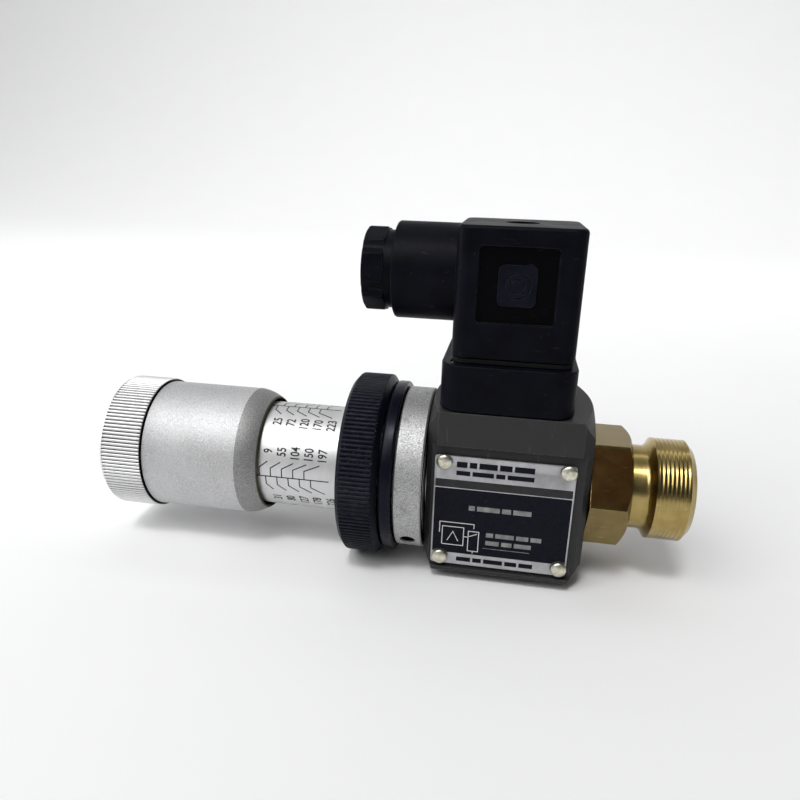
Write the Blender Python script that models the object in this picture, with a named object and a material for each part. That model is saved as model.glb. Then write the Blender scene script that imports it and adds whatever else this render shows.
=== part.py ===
"""Adjustable pressure switch with a setting scale, a brass port and a square connector plug.

Every length below is in millimetres and every mesh is scaled to metres when it is made.
The switch axis runs along X at height AXIS_Z: the setting knob is at -X and the port at +X.
The body's flat underside lies in the plane z = 0 and the plug stands on top, towards +Z.
Outlines of turned pieces are (along, radius) pairs about their own axis.
"""
import math

import bmesh
import bpy
from mathutils import Matrix, Vector

MM = 0.001
GAP = 0.3
FINE_ROUND = 40
ROUND = 28
SMALL_ROUND = 16
FULL_TURN = 2.0 * math.pi
TO_Z = (0.0, -math.pi / 2, 0.0)
TO_Y = (0.0, 0.0, math.pi / 2)

# Body block
BODY_X0 = -18.8
BODY_X1 = 21.0
BODY_HALF_Y = 16.0
BODY_HEIGHT = 43.0
BODY_END_BEVEL = 2.7
BODY_END_RADIUS = 21.2
BODY_NECK_TURNED_DEPTH = 2.5
BODY_PORT_TURNED_DEPTH = 3.1
AXIS_Z = BODY_HEIGHT / 2

# Setting head
BARREL_R = 14.1
BARREL_BORE_R = 12.3
BARREL_X0 = -79.0
BARREL_X1 = -31.0
NECK_R = 18.0
NECK_X0 = -39.8
NECK_X1 = -13.0
NECK_SPIGOT_R = 12.7
FLANGE_R = 21.3
FLANGE_X0 = -26.15
FLANGE_X1 = BODY_X0 - GAP
TOMMY_HOLE_R = 2.0
TOMMY_HOLE_ANGLE = math.radians(-40.0)
CLAMP_R = 22.6
CLAMP_X0 = -29.5
RING_NUT_R = 24.1
RING_NUT_X0 = -40.1
RING_NUT_X1 = -29.9
SLEEVE_R = 17.4
SLEEVE_BORE_R = 14.5
SLEEVE_MOUTH_X = -62.9
SLEEVE_TAPER_X = -68.4
CAP_R = 18.2
CAP_X0 = -106.0
CAP_X1 = -94.3
CAP_FLOOR_X = -100.0
SPINDLE_R = 6.0
SPINDLE_X1 = -68.0
SCALE_PITCH = 3.0
SCALE_TURNS = 5

# Spring and pressure train
SPRING_WIRE_R = 1.3
SPRING_COIL_R = 8.7
SPRING_TURNS = 7
UPPER_PLATE_FACE_X = -62.0
LOWER_PLATE_FACE_X = -25.3
PLATE_SPIGOT_R = 6.3
ROD_R = 4.0
ROD_WAIST_R = 3.0
PISTON_R = 4.0
PISTON_X0 = 3.2
PISTON_X1 = 24.5

# Port fitting
HEX_ACROSS_FLATS = 27.0
HEX_X0 = BODY_X1 + GAP
HEX_X1 = 31.2
PORT_NECK_R = 10.7
PORT_THREAD_R = 12.9
PORT_END_X = 46.3
PORT_BORE_R = 5.9
PORT_BORE_DEPTH = 12.3

# Connector base and plug
BASE_X0 = -16.5
BASE_X1 = 15.5
BASE_HALF_Y = 16.0
BASE_Z0 = BODY_HEIGHT + GAP
BASE_Z1 = 54.6
BASE_CORNER_R = 5.0
BASE_CAVITY_HALF = 9.8
PIN_PITCH_R = 9.0
PIN_WIDTH = 6.3
PIN_THICKNESS = 0.8
SHELL_HALF_X = 14.4
SHELL_HALF_Y = 14.0
SHELL_Z0 = 56.2
SHELL_Z1 = 86.3
SHELL_CORNER_R = 3.0
SHELL_CAVITY_HALF_X = 12.2
SHELL_CAVITY_HALF_Y = 11.8
SHELL_CAVITY_Z1 = 81.0
CABLE_Z = 73.9
GLAND_R = 11.8
GLAND_X0 = -29.7
GLAND_BORE_R = 9.8
GLAND_NUT_R = 10.3
GLAND_NUT_X0 = -37.1
GLAND_NUT_X1 = -32.0
CABLE_HOLE_R = 5.5
PLUG_SCREW_HOLE_R = 1.8

# Nameplate
PLATE_X0 = -16.6
PLATE_X1 = 17.4
PLATE_Z0 = 1.9
PLATE_Z1 = 31.8
POCKET_Z0 = 1.0
POCKET_Z1 = 34.4
POCKET_DEPTH = 1.2
PLATE_THICKNESS = 0.4
RIVET_X = (-14.3, 15.6)
RIVET_Z = (3.8, 30.1)
RIVET_HEAD_R = 1.95

# Switch chamber and microswitch
CHAMBER = ((-12.7, -8.0, 15.5), (4.0, 5.5, 44.0))
MICRO = ((-11.5, -3.2, 25.7), (-1.5, 3.2, 42.6))
MICRO_PLUNGER_Z = 35.5
MICRO_SCREW_Z = (28.3, 40.2)
MICRO_SCREW_X = -8.0
TAG_X = (-9.0, -6.0, -3.0)
TAG_HEIGHT = 2.0

MATERIALS = {
    "black_anodised": ((0.012, 0.012, 0.013), 0.45, 0.6),
    "satin_aluminium": ((0.62, 0.62, 0.60), 0.45, 1.0),
    "brushed_aluminium": ((0.70, 0.70, 0.69), 0.25, 1.0),
    "cast_silver": ((0.52, 0.52, 0.52), 0.5, 1.0),
    "brass": ((0.70, 0.52, 0.26), 0.25, 1.0),
    "steel": ((0.50, 0.50, 0.51), 0.3, 1.0),
    "spring_steel": ((0.20, 0.20, 0.21), 0.35, 1.0),
    "black_plastic": ((0.010, 0.010, 0.011), 0.4, 0.0),
    "rubber": ((0.020, 0.020, 0.020), 0.8, 0.0),
    "red_plastic": ((0.30, 0.03, 0.02), 0.5, 0.0),
    "plate_print": ((0.40, 0.41, 0.42), 0.4, 0.7),
}


def clear_scene():
    """Remove every object that the scene starts with."""
    for old in list(bpy.data.objects):
        bpy.data.objects.remove(old, do_unlink=True)


def principled(name):
    """Return the named material, made the first time it is asked for."""
    known = bpy.data.materials.get(name)
    if known is not None:
        return known
    colour, roughness, metallic = MATERIALS[name]
    made = bpy.data.materials.new(name)
    made.use_nodes = True
    shader = made.node_tree.nodes["Principled BSDF"]
    shader.inputs["Base Color"].default_value = (*colour, 1.0)
    shader.inputs["Roughness"].default_value = roughness
    shader.inputs["Metallic"].default_value = metallic
    made.diffuse_color = (*colour, 1.0)
    return made


def axis_empty(name, location):
    """An empty that carries the pieces lying on one axis."""
    empty = bpy.data.objects.new(name, None)
    empty.location = Vector(location) * MM
    bpy.context.collection.objects.link(empty)
    return empty


def place(name, bm, look, parent=None, location=(0, 0, 0), rotation=(0, 0, 0), smooth=False):
    """Turn a bmesh in millimetres into a placed object in metres."""
    bmesh.ops.recalc_face_normals(bm, faces=bm.faces)
    bmesh.ops.scale(bm, vec=(MM, MM, MM), verts=bm.verts)
    mesh = bpy.data.meshes.new(name)
    bm.to_mesh(mesh)
    bm.free()
    if smooth:
        mesh.shade_smooth()
        mesh.set_sharp_from_angle(angle=math.radians(32.0))
    piece = bpy.data.objects.new(name, mesh)
    piece.location = Vector(location) * MM
    piece.rotation_euler = rotation
    piece.parent = parent
    if look is not None:
        mesh.materials.append(principled(look))
    bpy.context.collection.objects.link(piece)
    return piece


def turned_mesh(outline, steps):
    """Spin a closed (along, radius) outline about X; points on the axis close the ends."""
    bm = bmesh.new()
    corners = [bm.verts.new((along, 0.0, radius)) for along, radius in outline]
    for first, second in zip(corners, corners[1:] + corners[:1]):
        if first.co.z > 0.0 or second.co.z > 0.0:
            bm.edges.new((first, second))
    geometry = list(bm.verts) + list(bm.edges)
    bmesh.ops.spin(bm, geom=geometry, cent=(0, 0, 0), axis=(1, 0, 0), angle=FULL_TURN, steps=steps)
    bmesh.ops.remove_doubles(bm, verts=bm.verts, dist=0.0005)
    return bm


def turned(name, outline, look, parent=None, location=(0, 0, 0), rotation=(0, 0, 0), steps=ROUND):
    """A turned piece about its own X axis."""
    return place(name, turned_mesh(outline, steps), look, parent, location, rotation, smooth=True)


def block_mesh(low, high):
    """A plain block between two corners."""
    bm = bmesh.new()
    bmesh.ops.create_cube(bm, size=1.0)
    low = Vector(low)
    high = Vector(high)
    bmesh.ops.scale(bm, vec=high - low, verts=bm.verts)
    bmesh.ops.translate(bm, vec=(low + high) / 2, verts=bm.verts)
    return bm


def edges_along(bm, axis):
    """The edges of a block that run along one axis, 0 for X, 1 for Y and 2 for Z."""
    found = []
    for edge in bm.edges:
        run = edge.verts[1].co - edge.verts[0].co
        if abs(run[axis]) > 0.99 * run.length:
            found.append(edge)
    return found


def block(name, low, high, look, parent=None, corner=0.0, along=2, segments=4):
    """A block whose edges along one axis may be rounded."""
    bm = block_mesh(low, high)
    if corner > 0.0:
        bmesh.ops.bevel(
            bm, geom=edges_along(bm, along), offset=corner, segments=segments, profile=0.5, affect="EDGES"
        )
    return place(name, bm, look, parent)


def rod_cutter(name, radius, start, length, rotation=(0, 0, 0), steps=SMALL_ROUND, parent=None):
    """A plain round cutter that starts at a point and runs along its own X."""
    outline = [(0.0, 0.0), (0.0, radius), (length, radius), (length, 0.0)]
    return turned(name, outline, None, parent, start, rotation, steps)


def combine(piece, tool, operation="DIFFERENCE"):
    """Add an exact Boolean to a piece, and hide the tool that shapes it."""
    step = piece.modifiers.new(tool.name, "BOOLEAN")
    step.operation = operation
    step.solver = "EXACT"
    step.object = tool
    tool.hide_render = True
    tool.display_type = "WIRE"
    return piece


# Body


def make_switch_body():
    """Anodised block with turned ends, its bores, the switch chamber and the plate pocket."""
    low = (BODY_X0, -BODY_HALF_Y, 0.0)
    high = (BODY_X1, BODY_HALF_Y, BODY_HEIGHT)
    body = block("switch_body", low, high, "black_anodised", None, BODY_END_BEVEL, 2, 1)
    combine(body, make_turned_ends(), "INTERSECT")
    combine(body, make_plate_pocket())
    combine(body, make_body_bores())
    combine(body, block("chamber_cutter", *CHAMBER, None))
    for index, x in enumerate(RIVET_X):
        for level, z in enumerate(RIVET_Z):
            start = (x, -BODY_HALF_Y, z)
            combine(body, rod_cutter(f"rivet_cutter_{index}{level}", 1.1, start, 5.0, TO_Y, 12))
    for index, (x, y) in enumerate(base_screw_places()):
        start = (x, y, BODY_HEIGHT - 8.0)
        combine(body, rod_cutter(f"base_screw_cutter_{index}", 1.8, start, 9.0, TO_Z, 12))
    for index, z in enumerate(MICRO_SCREW_Z):
        start = (MICRO_SCREW_X, CHAMBER[1][1] - 1.0, z)
        combine(body, rod_cutter(f"micro_screw_cutter_{index}", 1.4, start, 4.6, TO_Y, 12))
    return body


def make_turned_ends():
    """The lathe form that cuts the corners of both ends of the block."""
    far_radius = 30.0
    over = 1.0
    rise = math.hypot(BODY_HALF_Y, AXIS_Z) - BODY_END_RADIUS
    neck_slope = rise / BODY_NECK_TURNED_DEPTH
    port_slope = rise / BODY_PORT_TURNED_DEPTH
    far_rise = far_radius - BODY_END_RADIUS
    outline = [
        (BODY_X0 - over, 0.0),
        (BODY_X0 - over, BODY_END_RADIUS - over * neck_slope),
        (BODY_X0 + far_rise / neck_slope, far_radius),
        (BODY_X1 - far_rise / port_slope, far_radius),
        (BODY_X1 + over, BODY_END_RADIUS - over * port_slope),
        (BODY_X1 + over, 0.0),
    ]
    return turned("turned_ends", outline, None, None, (0, 0, AXIS_Z), steps=FINE_ROUND)


def make_plate_pocket():
    """The milled recess that the nameplate lies in, open at both ends of the block."""
    low = (BODY_X0 - 4.0, -BODY_HALF_Y - 4.0, POCKET_Z0)
    high = (BODY_X1 + 4.0, -BODY_HALF_Y + POCKET_DEPTH, POCKET_Z1)
    return block("pocket_cutter", low, high, None)


def make_body_bores():
    """The stepped bore for the neck on one side and for the port fitting on the other."""
    outline = [
        (BODY_X0 - 2.0, 0.0),
        (BODY_X0 - 2.0, NECK_SPIGOT_R + GAP),
        (NECK_X1 + GAP, NECK_SPIGOT_R + GAP),
        (NECK_X1 + GAP, 4.6),
        (CHAMBER[1][0] - 0.5, 4.6),
        (CHAMBER[1][0] - 0.5, 10.0),
        (BODY_X1 - 2.0, 10.0),
        (BODY_X1 - 2.0, 12.0),
        (BODY_X1 + 2.0, 12.0),
        (BODY_X1 + 2.0, 0.0),
    ]
    return turned("bore_cutter", outline, None, None, (0, 0, AXIS_Z), steps=ROUND)


def make_nameplate():
    """Thin printed plate in the front pocket, with four rivet holes."""
    back = -BODY_HALF_Y + POCKET_DEPTH - GAP
    low = (PLATE_X0, back - PLATE_THICKNESS, PLATE_Z0)
    high = (PLATE_X1, back, PLATE_Z1)
    plate = block("nameplate", low, high, "plate_print", None, 0.8, 1, 3)
    for index, x in enumerate(RIVET_X):
        for level, z in enumerate(RIVET_Z):
            start = (x, back - 3.0, z)
            combine(plate, rod_cutter(f"plate_cutter_{index}{level}", 1.1, start, 5.0, TO_Y, 12))
    return plate


def make_rivets():
    """Four dome-headed rivets that hold the nameplate."""
    plate_front = POCKET_DEPTH - GAP - PLATE_THICKNESS - GAP
    number = 0
    for z in reversed(RIVET_Z):
        for x in RIVET_X:
            number += 1
            dome = [(plate_front - 0.9 * math.sin(a), RIVET_HEAD_R * math.cos(a)) for a in (0.0, 0.5, 1.0)]
            outline = [(4.2, 0.0), (4.2, 0.8), (plate_front, 0.8), *dome, (plate_front - 0.9, 0.0)]
            place_at = (x, -BODY_HALF_Y, z)
            turned(f"nameplate_rivet_{number}", outline, "steel", None, place_at, TO_Y, 12)


# Setting head


def make_threaded_neck(axis):
    """Fixed threaded neck that joins the setting head to the body and holds the spring chamber."""
    outline = [
        (NECK_X0, BARREL_R + GAP),
        (NECK_X0, NECK_R - 0.5),
        (NECK_X0 + 0.5, NECK_R),
        (FLANGE_X1, NECK_R),
        (FLANGE_X1, NECK_SPIGOT_R),
        (NECK_X1, NECK_SPIGOT_R),
        (NECK_X1, ROD_R + GAP),
        (-22.0, ROD_R + GAP),
        (-22.0, 11.4),
        (BARREL_X1 + GAP, 11.4),
        (BARREL_X1 + GAP, BARREL_R + GAP),
    ]
    return turned("threaded_neck", outline, "steel", axis)


def make_flange_ring(axis):
    """Silver ring against the body, with two radial holes for a tommy bar."""
    bore = NECK_R + 0.4
    outline = [
        (FLANGE_X0, bore),
        (FLANGE_X0, FLANGE_R - 0.4),
        (FLANGE_X0 + 0.4, FLANGE_R),
        (FLANGE_X1 - 0.4, FLANGE_R),
        (FLANGE_X1, FLANGE_R - 0.4),
        (FLANGE_X1, bore),
    ]
    ring = turned("flange_ring", outline, "cast_silver", axis, steps=FINE_ROUND)
    middle = (FLANGE_X0 + FLANGE_X1) / 2
    for number in range(2):
        angle = TOMMY_HOLE_ANGLE + number * math.pi
        start = (middle, -17.0 * math.cos(angle), 17.0 * math.sin(angle))
        outward = Vector((0.0, -math.cos(angle), math.sin(angle)))
        turn = outward.to_track_quat("X", "Z").to_euler()
        name = f"tommy_cutter_{number}"
        combine(ring, rod_cutter(name, TOMMY_HOLE_R, start, 8.0, turn, 12, axis))
    return ring


def make_clamp_ring(axis):
    """Smooth thrust ring between the ring nut and the flange ring."""
    bore = NECK_R + 0.4
    right = FLANGE_X0 - GAP
    outline = [
        (CLAMP_X0, bore),
        (CLAMP_X0, CLAMP_R - 0.4),
        (CLAMP_X0 + 0.4, CLAMP_R),
        (right - 0.3, CLAMP_R),
        (right, CLAMP_R - 0.3),
        (right, bore),
    ]
    return turned("clamp_ring", outline, "black_anodised", axis, steps=FINE_ROUND)


def make_ring_nut(axis):
    """Knurled nut on the neck that clamps a panel against the flange ring."""
    bore = NECK_R + 0.4
    outline = [
        (RING_NUT_X0, bore),
        (RING_NUT_X0, RING_NUT_R - 1.2),
        (RING_NUT_X0 + 1.2, RING_NUT_R),
        (RING_NUT_X1 - 1.3, RING_NUT_R),
        (RING_NUT_X1, CLAMP_R - 0.4),
        (RING_NUT_X1, bore),
    ]
    return turned("ring_nut", outline, "black_anodised", axis, steps=FINE_ROUND)


def make_scale_barrel(axis):
    """Fixed tube that carries the setting scale and houses the main spring."""
    outline = [
        (BARREL_X0, BARREL_BORE_R),
        (BARREL_X0, BARREL_R - 0.4),
        (BARREL_X0 + 0.4, BARREL_R),
        (BARREL_X1, BARREL_R),
        (BARREL_X1, BARREL_BORE_R),
    ]
    return turned("scale_barrel", outline, "brushed_aluminium", axis, steps=FINE_ROUND)


def make_spindle_bush(axis):
    """Threaded bush in the barrel's end that the spindle runs in."""
    flange_x = BARREL_X0 - GAP
    outline = [
        (flange_x - 2.2, SPINDLE_R + GAP),
        (flange_x - 2.2, BARREL_R - GAP),
        (flange_x, BARREL_R - GAP),
        (flange_x, BARREL_BORE_R - GAP),
        (BARREL_X0 + 8.0, BARREL_BORE_R - GAP),
        (BARREL_X0 + 8.0, SPINDLE_R + GAP),
    ]
    return turned("spindle_bush", outline, "brass", axis, steps=24)


def make_adjusting_sleeve(axis):
    """Turning sleeve whose mouth reads the setting on the scale barrel."""
    tail_r = CAP_R - 2.3
    groove_x = SLEEVE_MOUTH_X - 2.1
    outline = [
        (CAP_FLOOR_X + GAP, tail_r),
        (CAP_X1 + GAP, tail_r),
        (CAP_X1 + GAP, SLEEVE_R),
        (SLEEVE_TAPER_X, SLEEVE_R),
        (-66.4, 17.1),
        (-64.4, 16.3),
        (SLEEVE_MOUTH_X, 15.3),
        (SLEEVE_MOUTH_X, 15.0),
        (groove_x, 14.7),
        (groove_x, 15.7),
        (groove_x - 2.5, 15.7),
        (groove_x - 2.5, SLEEVE_BORE_R),
        (CAP_FLOOR_X + GAP, SLEEVE_BORE_R),
    ]
    return turned("adjusting_sleeve", outline, "satin_aluminium", axis, steps=FINE_ROUND)


def make_sleeve_wiper(axis):
    """Wiper ring in the sleeve's mouth groove that keeps dirt off the barrel."""
    left = SLEEVE_MOUTH_X - 2.1 - 2.2
    right = left + 1.9
    outline = [
        (left, BARREL_R + GAP),
        (left, 15.4),
        (right, 15.4),
        (right, BARREL_R + GAP),
    ]
    return turned("sleeve_wiper", outline, "rubber", axis)


def make_knurled_cap(axis):
    """Knurled end cap of the knob, recessed for its screw."""
    outline = [
        (CAP_X0, 6.0),
        (CAP_X0, CAP_R - 1.0),
        (CAP_X0 + 1.0, CAP_R),
        (CAP_X1 - 0.5, CAP_R),
        (CAP_X1, CAP_R - 0.5),
        (CAP_X1, CAP_R - 2.0),
        (CAP_FLOOR_X, CAP_R - 2.0),
        (CAP_FLOOR_X, 3.2),
        (CAP_X0 + 3.5, 3.2),
        (CAP_X0 + 3.5, 6.0),
    ]
    return turned("knurled_cap", outline, "brushed_aluminium", axis, steps=FINE_ROUND)


def make_knob_screw(axis):
    """Socket-head screw that ties the cap to the spindle."""
    head_x = CAP_X0 + 3.5 - GAP
    outline = [
        (head_x - 0.7, 0.0),
        (head_x - 0.7, 2.2),
        (head_x - 2.9, 2.5),
        (head_x - 2.9, 5.2),
        (head_x, 5.2),
        (head_x, 2.9),
        (-92.0, 2.9),
        (-92.0, 0.0),
    ]
    return turned("knob_screw", outline, "steel", axis, steps=24)


def make_spindle(axis):
    """Threaded spindle that drives the upper spring plate."""
    pocket_r = 2.6
    outline = [
        (SPINDLE_X1 - 1.7, 0.0),
        (SPINDLE_X1 - 1.7, pocket_r),
        (SPINDLE_X1, pocket_r),
        (SPINDLE_X1, SPINDLE_R),
        (CAP_FLOOR_X + GAP, SPINDLE_R),
        (CAP_FLOOR_X + GAP, 3.2),
        (-91.5, 3.2),
        (-91.5, 0.0),
    ]
    return turned("spindle", outline, "steel", axis, steps=24)


def make_thrust_ball(axis):
    """Ball that lets the spindle turn against the spring plate."""
    bm = bmesh.new()
    bmesh.ops.create_uvsphere(bm, u_segments=12, v_segments=8, radius=2.2)
    return place("thrust_ball", bm, "steel", axis, (SPINDLE_X1 + 0.8, 0, 0), smooth=True)


# Spring and pressure train


def make_upper_spring_plate(axis):
    """Spring plate that the spindle pushes."""
    outline = [
        (-64.7, 0.0),
        (-64.7, 2.6),
        (-66.4, 2.6),
        (-66.4, 7.0),
        (-64.5, 7.0),
        (-64.5, 11.9),
        (UPPER_PLATE_FACE_X, 11.9),
        (UPPER_PLATE_FACE_X, PLATE_SPIGOT_R),
        (UPPER_PLATE_FACE_X + 3.5, PLATE_SPIGOT_R),
        (UPPER_PLATE_FACE_X + 3.5, 0.0),
    ]
    return turned("upper_spring_plate", outline, "steel", axis, steps=24)


def make_lower_spring_plate(axis):
    """Spring plate on the push rod, which the pressure lifts off its stop."""
    right = LOWER_PLATE_FACE_X + 3.0
    outline = [
        (LOWER_PLATE_FACE_X - 4.0, 0.0),
        (LOWER_PLATE_FACE_X - 4.0, PLATE_SPIGOT_R),
        (LOWER_PLATE_FACE_X, PLATE_SPIGOT_R),
        (LOWER_PLATE_FACE_X, 11.1),
        (right, 11.1),
        (right, ROD_R + GAP),
        (right - 1.5, ROD_R + GAP),
        (right - 1.5, 0.0),
    ]
    return turned("lower_spring_plate", outline, "steel", axis, steps=24)


def make_main_spring(axis):
    """Coil spring that sets the switching pressure."""
    start = UPPER_PLATE_FACE_X + GAP + SPRING_WIRE_R
    end = LOWER_PLATE_FACE_X - GAP - SPRING_WIRE_R
    steps = SPRING_TURNS * 16
    points = []
    for step in range(steps + 1):
        share = step / steps
        angle = share * SPRING_TURNS * FULL_TURN
        along = start + (end - start) * share
        points.append((along, SPRING_COIL_R * math.cos(angle), SPRING_COIL_R * math.sin(angle)))
    return wire("main_spring", points, SPRING_WIRE_R, "spring_steel", axis)


def wire(name, points, radius, look, parent=None):
    """A round wire along a row of points, with closed ends."""
    curve = bpy.data.curves.new(name, "CURVE")
    curve.dimensions = "3D"
    curve.bevel_depth = radius * MM
    curve.bevel_resolution = 1
    curve.use_fill_caps = True
    spline = curve.splines.new("POLY")
    spline.points.add(len(points) - 1)
    for knot, point in zip(spline.points, points):
        knot.co = (point[0] * MM, point[1] * MM, point[2] * MM, 1.0)
    piece = bpy.data.objects.new(name, curve)
    piece.parent = parent
    curve.materials.append(principled(look))
    bpy.context.collection.objects.link(piece)
    return piece


def make_push_rod(axis):
    """Rod that carries the piston's travel to the spring plate and the microswitch arm."""
    left = LOWER_PLATE_FACE_X + 1.5 + GAP
    outline = [
        (left, 0.0),
        (left, ROD_R),
        (NECK_X1 + 1.0, ROD_R),
        (NECK_X1 + 1.0, ROD_WAIST_R),
        (PISTON_X0 - GAP, ROD_WAIST_R),
        (PISTON_X0 - GAP, 0.0),
    ]
    return turned("push_rod", outline, "steel", axis, steps=SMALL_ROUND)


def make_actuator_arm():
    """Flat arm clamped on the push rod that presses the microswitch plunger."""
    arm = block("actuator_arm", (0.7, -4.0, 17.0), (2.7, 4.0, 37.5), "steel", None, 1.5, 0, 2)
    return combine(arm, rod_cutter("arm_cutter", ROD_WAIST_R + GAP, (-1, 0, AXIS_Z), 5.0))


def make_piston(axis):
    """Piston that the pressure pushes towards the spring."""
    outline = [
        (PISTON_X0, 0.0),
        (PISTON_X0, PISTON_R),
        (PISTON_X1, PISTON_R),
        (PISTON_X1, 0.0),
    ]
    return turned("piston", outline, "steel", axis, steps=SMALL_ROUND)


def make_piston_bush(axis):
    """Guide bush of the piston, inside the port fitting."""
    bore = PISTON_R + GAP
    outline = [(5.5, bore), (5.5, 8.0), (18.8, 8.0), (18.8, bore)]
    return turned("piston_bush", outline, "brass", axis, steps=24)


def ring_seal(name, along, centre_r, section_r, axis):
    """A rubber ring of round section about the switch axis."""
    outline = []
    for step in range(8):
        angle = step / 8 * FULL_TURN
        outline.append((along + section_r * math.cos(angle), centre_r + section_r * math.sin(angle)))
    return turned(name, outline, "rubber", axis, steps=24)


# Port fitting


def make_brass_fitting(axis):
    """Brass port fitting: spigot in the body, hexagon, neck and male thread with a female port."""
    fitting = turned("brass_fitting", fitting_outline(), "brass", axis, steps=FINE_ROUND)
    combine(fitting, make_hexagon(axis), "UNION")
    combine(fitting, make_port_bore(axis))
    return fitting


def fitting_outline():
    """The solid turned core of the fitting, before its bore."""
    fillet = [(34.8 + 2.1 * t, PORT_NECK_R + 2.2 * t * t) for t in (0.0, 0.5, 1.0)]
    return [
        (5.0, 0.0),
        (5.0, 9.7),
        (22.0, 9.7),
        (22.0, PORT_NECK_R),
        *fillet,
        (44.8, PORT_THREAD_R),
        (PORT_END_X, PORT_THREAD_R - 1.7),
        (PORT_END_X, 0.0),
    ]


def make_hexagon(axis):
    """Spanner hexagon with a turned chamfer, its corners facing front and back."""
    corner_r = HEX_ACROSS_FLATS / math.sqrt(3.0)
    outline = [(HEX_X0, 0.0), (HEX_X0, corner_r), (HEX_X1, corner_r), (HEX_X1, 0.0)]
    bm = turned_mesh(outline, 6)
    quarter = Matrix.Rotation(math.pi / 2, 3, "X")
    bmesh.ops.rotate(bm, cent=(0, 0, 0), matrix=quarter, verts=bm.verts)
    hexagon = place("hexagon", bm, None, axis)
    flat_r = HEX_ACROSS_FLATS / 2
    cone = [
        (HEX_X0 - 1.0, 0.0),
        (HEX_X0 - 1.0, corner_r + 0.7),
        (HEX_X1 - 1.6, corner_r + 0.7),
        (HEX_X1 + 0.4, flat_r - 0.9),
        (HEX_X1 + 0.4, 0.0),
    ]
    chamfer = turned("hexagon_chamfer", cone, None, axis, steps=FINE_ROUND)
    return combine(hexagon, chamfer, "INTERSECT")


def make_port_bore(axis):
    """The female port, the pressure passage and the piston chamber, cut in one go."""
    port_x = PORT_END_X - PORT_BORE_DEPTH
    outline = [
        (3.0, 0.0),
        (3.0, 8.3),
        (23.1, 8.3),
        (23.1, 4.6),
        (27.0, 4.6),
        (27.0, 2.0),
        (port_x, 2.0),
        (port_x, PORT_BORE_R),
        (PORT_END_X - 0.8, PORT_BORE_R),
        (PORT_END_X + 0.2, PORT_BORE_R + 1.0),
        (PORT_END_X + 0.2, 0.0),
    ]
    return turned("port_cutter", outline, None, axis, steps=FINE_ROUND)


# Microswitch


def make_microswitch_case():
    """Snap-action microswitch case with a pocket for its plunger."""
    case = block("microswitch_case", *MICRO, "red_plastic", None, 0.6, 1, 1)
    start = (MICRO[1][0] - 3.0, 0.0, MICRO_PLUNGER_Z)
    combine(case, rod_cutter("plunger_cutter", 1.5, start, 4.0))
    for index, z in enumerate(MICRO_SCREW_Z):
        start = (MICRO_SCREW_X, -5.0, z)
        combine(case, rod_cutter(f"case_cutter_{index}", 1.4, start, 10.0, TO_Y, 12))
    return case


def make_microswitch_plunger():
    """Plunger of the microswitch, facing the actuator arm."""
    outline = [(-1.7, 0.0), (-1.7, 1.2), (1.6, 1.2), (1.9, 0.7), (1.9, 0.0)]
    place_at = (-1.5, 0, MICRO_PLUNGER_Z)
    return turned("microswitch_plunger", outline, "black_plastic", None, place_at, steps=12)


def make_microswitch_bracket():
    """Spacer plate that backs the microswitch against the chamber wall."""
    low = (MICRO[0][0], MICRO[1][1] + GAP, MICRO[0][2])
    high = (MICRO[1][0], CHAMBER[1][1] - GAP, MICRO[1][2])
    bracket = block("microswitch_bracket", low, high, "steel")
    for index, z in enumerate(MICRO_SCREW_Z):
        start = (MICRO_SCREW_X, 0.0, z)
        combine(bracket, rod_cutter(f"bracket_cutter_{index}", 1.4, start, 10.0, TO_Y, 12))
    return bracket


def make_microswitch_screws():
    """Two screws that hold the microswitch and its spacer."""
    head_y = MICRO[0][1] - GAP
    for number, z in enumerate(MICRO_SCREW_Z, start=1):
        outline = [(-1.6, 0.0), (-1.6, 2.1), (0.0, 2.1), (0.0, 1.1), (11.5, 1.1), (11.5, 0.0)]
        place_at = (MICRO_SCREW_X, head_y, z)
        turned(f"microswitch_screw_{number}", outline, "steel", None, place_at, TO_Y, 12)


def make_microswitch_terminals():
    """Three solder tags on top of the microswitch."""
    z = MICRO[1][2] + GAP
    for number, x in enumerate(TAG_X, start=1):
        high = (x + 0.3, 1.0, z + TAG_HEIGHT)
        block(f"microswitch_terminal_{number}", (x - 0.3, -1.0, z), high, "brass")


def curve_through(points, steps=5):
    """Points along a smooth Catmull-Rom curve through the given ones."""
    knots = [Vector(point) for point in points]
    knots = [2 * knots[0] - knots[1], *knots, 2 * knots[-1] - knots[-2]]
    path = []
    for p0, p1, p2, p3 in zip(knots, knots[1:], knots[2:], knots[3:]):
        for step in range(steps):
            t = step / steps
            bend = (2 * p0 - 5 * p1 + 4 * p2 - p3) * t * t
            twist = (-p0 + 3 * p1 - 3 * p2 + p3) * t * t * t
            path.append((2 * p1 + (p2 - p0) * t + bend + twist) / 2)
    path.append(knots[-2])
    return path


def make_lead_wires():
    """Three short leads from the microswitch tags to the connector pins."""
    tag_z = MICRO[1][2] + GAP + TAG_HEIGHT + GAP
    pin_z = BASE_Z0 + 5.2 - 3 * GAP
    bend_z = tag_z + 0.9
    first, second, third = TAG_X
    routes = (
        [(first, 0, tag_z), (first, 0.2, bend_z), (first, 0, pin_z)],
        [(second, 0, tag_z), (second, -1.5, bend_z), (-2, -6, bend_z), (5, -5, bend_z), (9, 0, pin_z)],
        [(third, 0, tag_z), (third, 1.2, bend_z), (-2, 6, bend_z), (0, 9, pin_z)],
    )
    for number, route in enumerate(routes, start=1):
        wire(f"lead_wire_{number}", curve_through(route), 0.55, "black_plastic")


# Connector base and plug


def base_screw_places():
    """The two diagonal screw places of the connector base."""
    return ((-12.0, -11.5), (12.0, 11.5))


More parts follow.
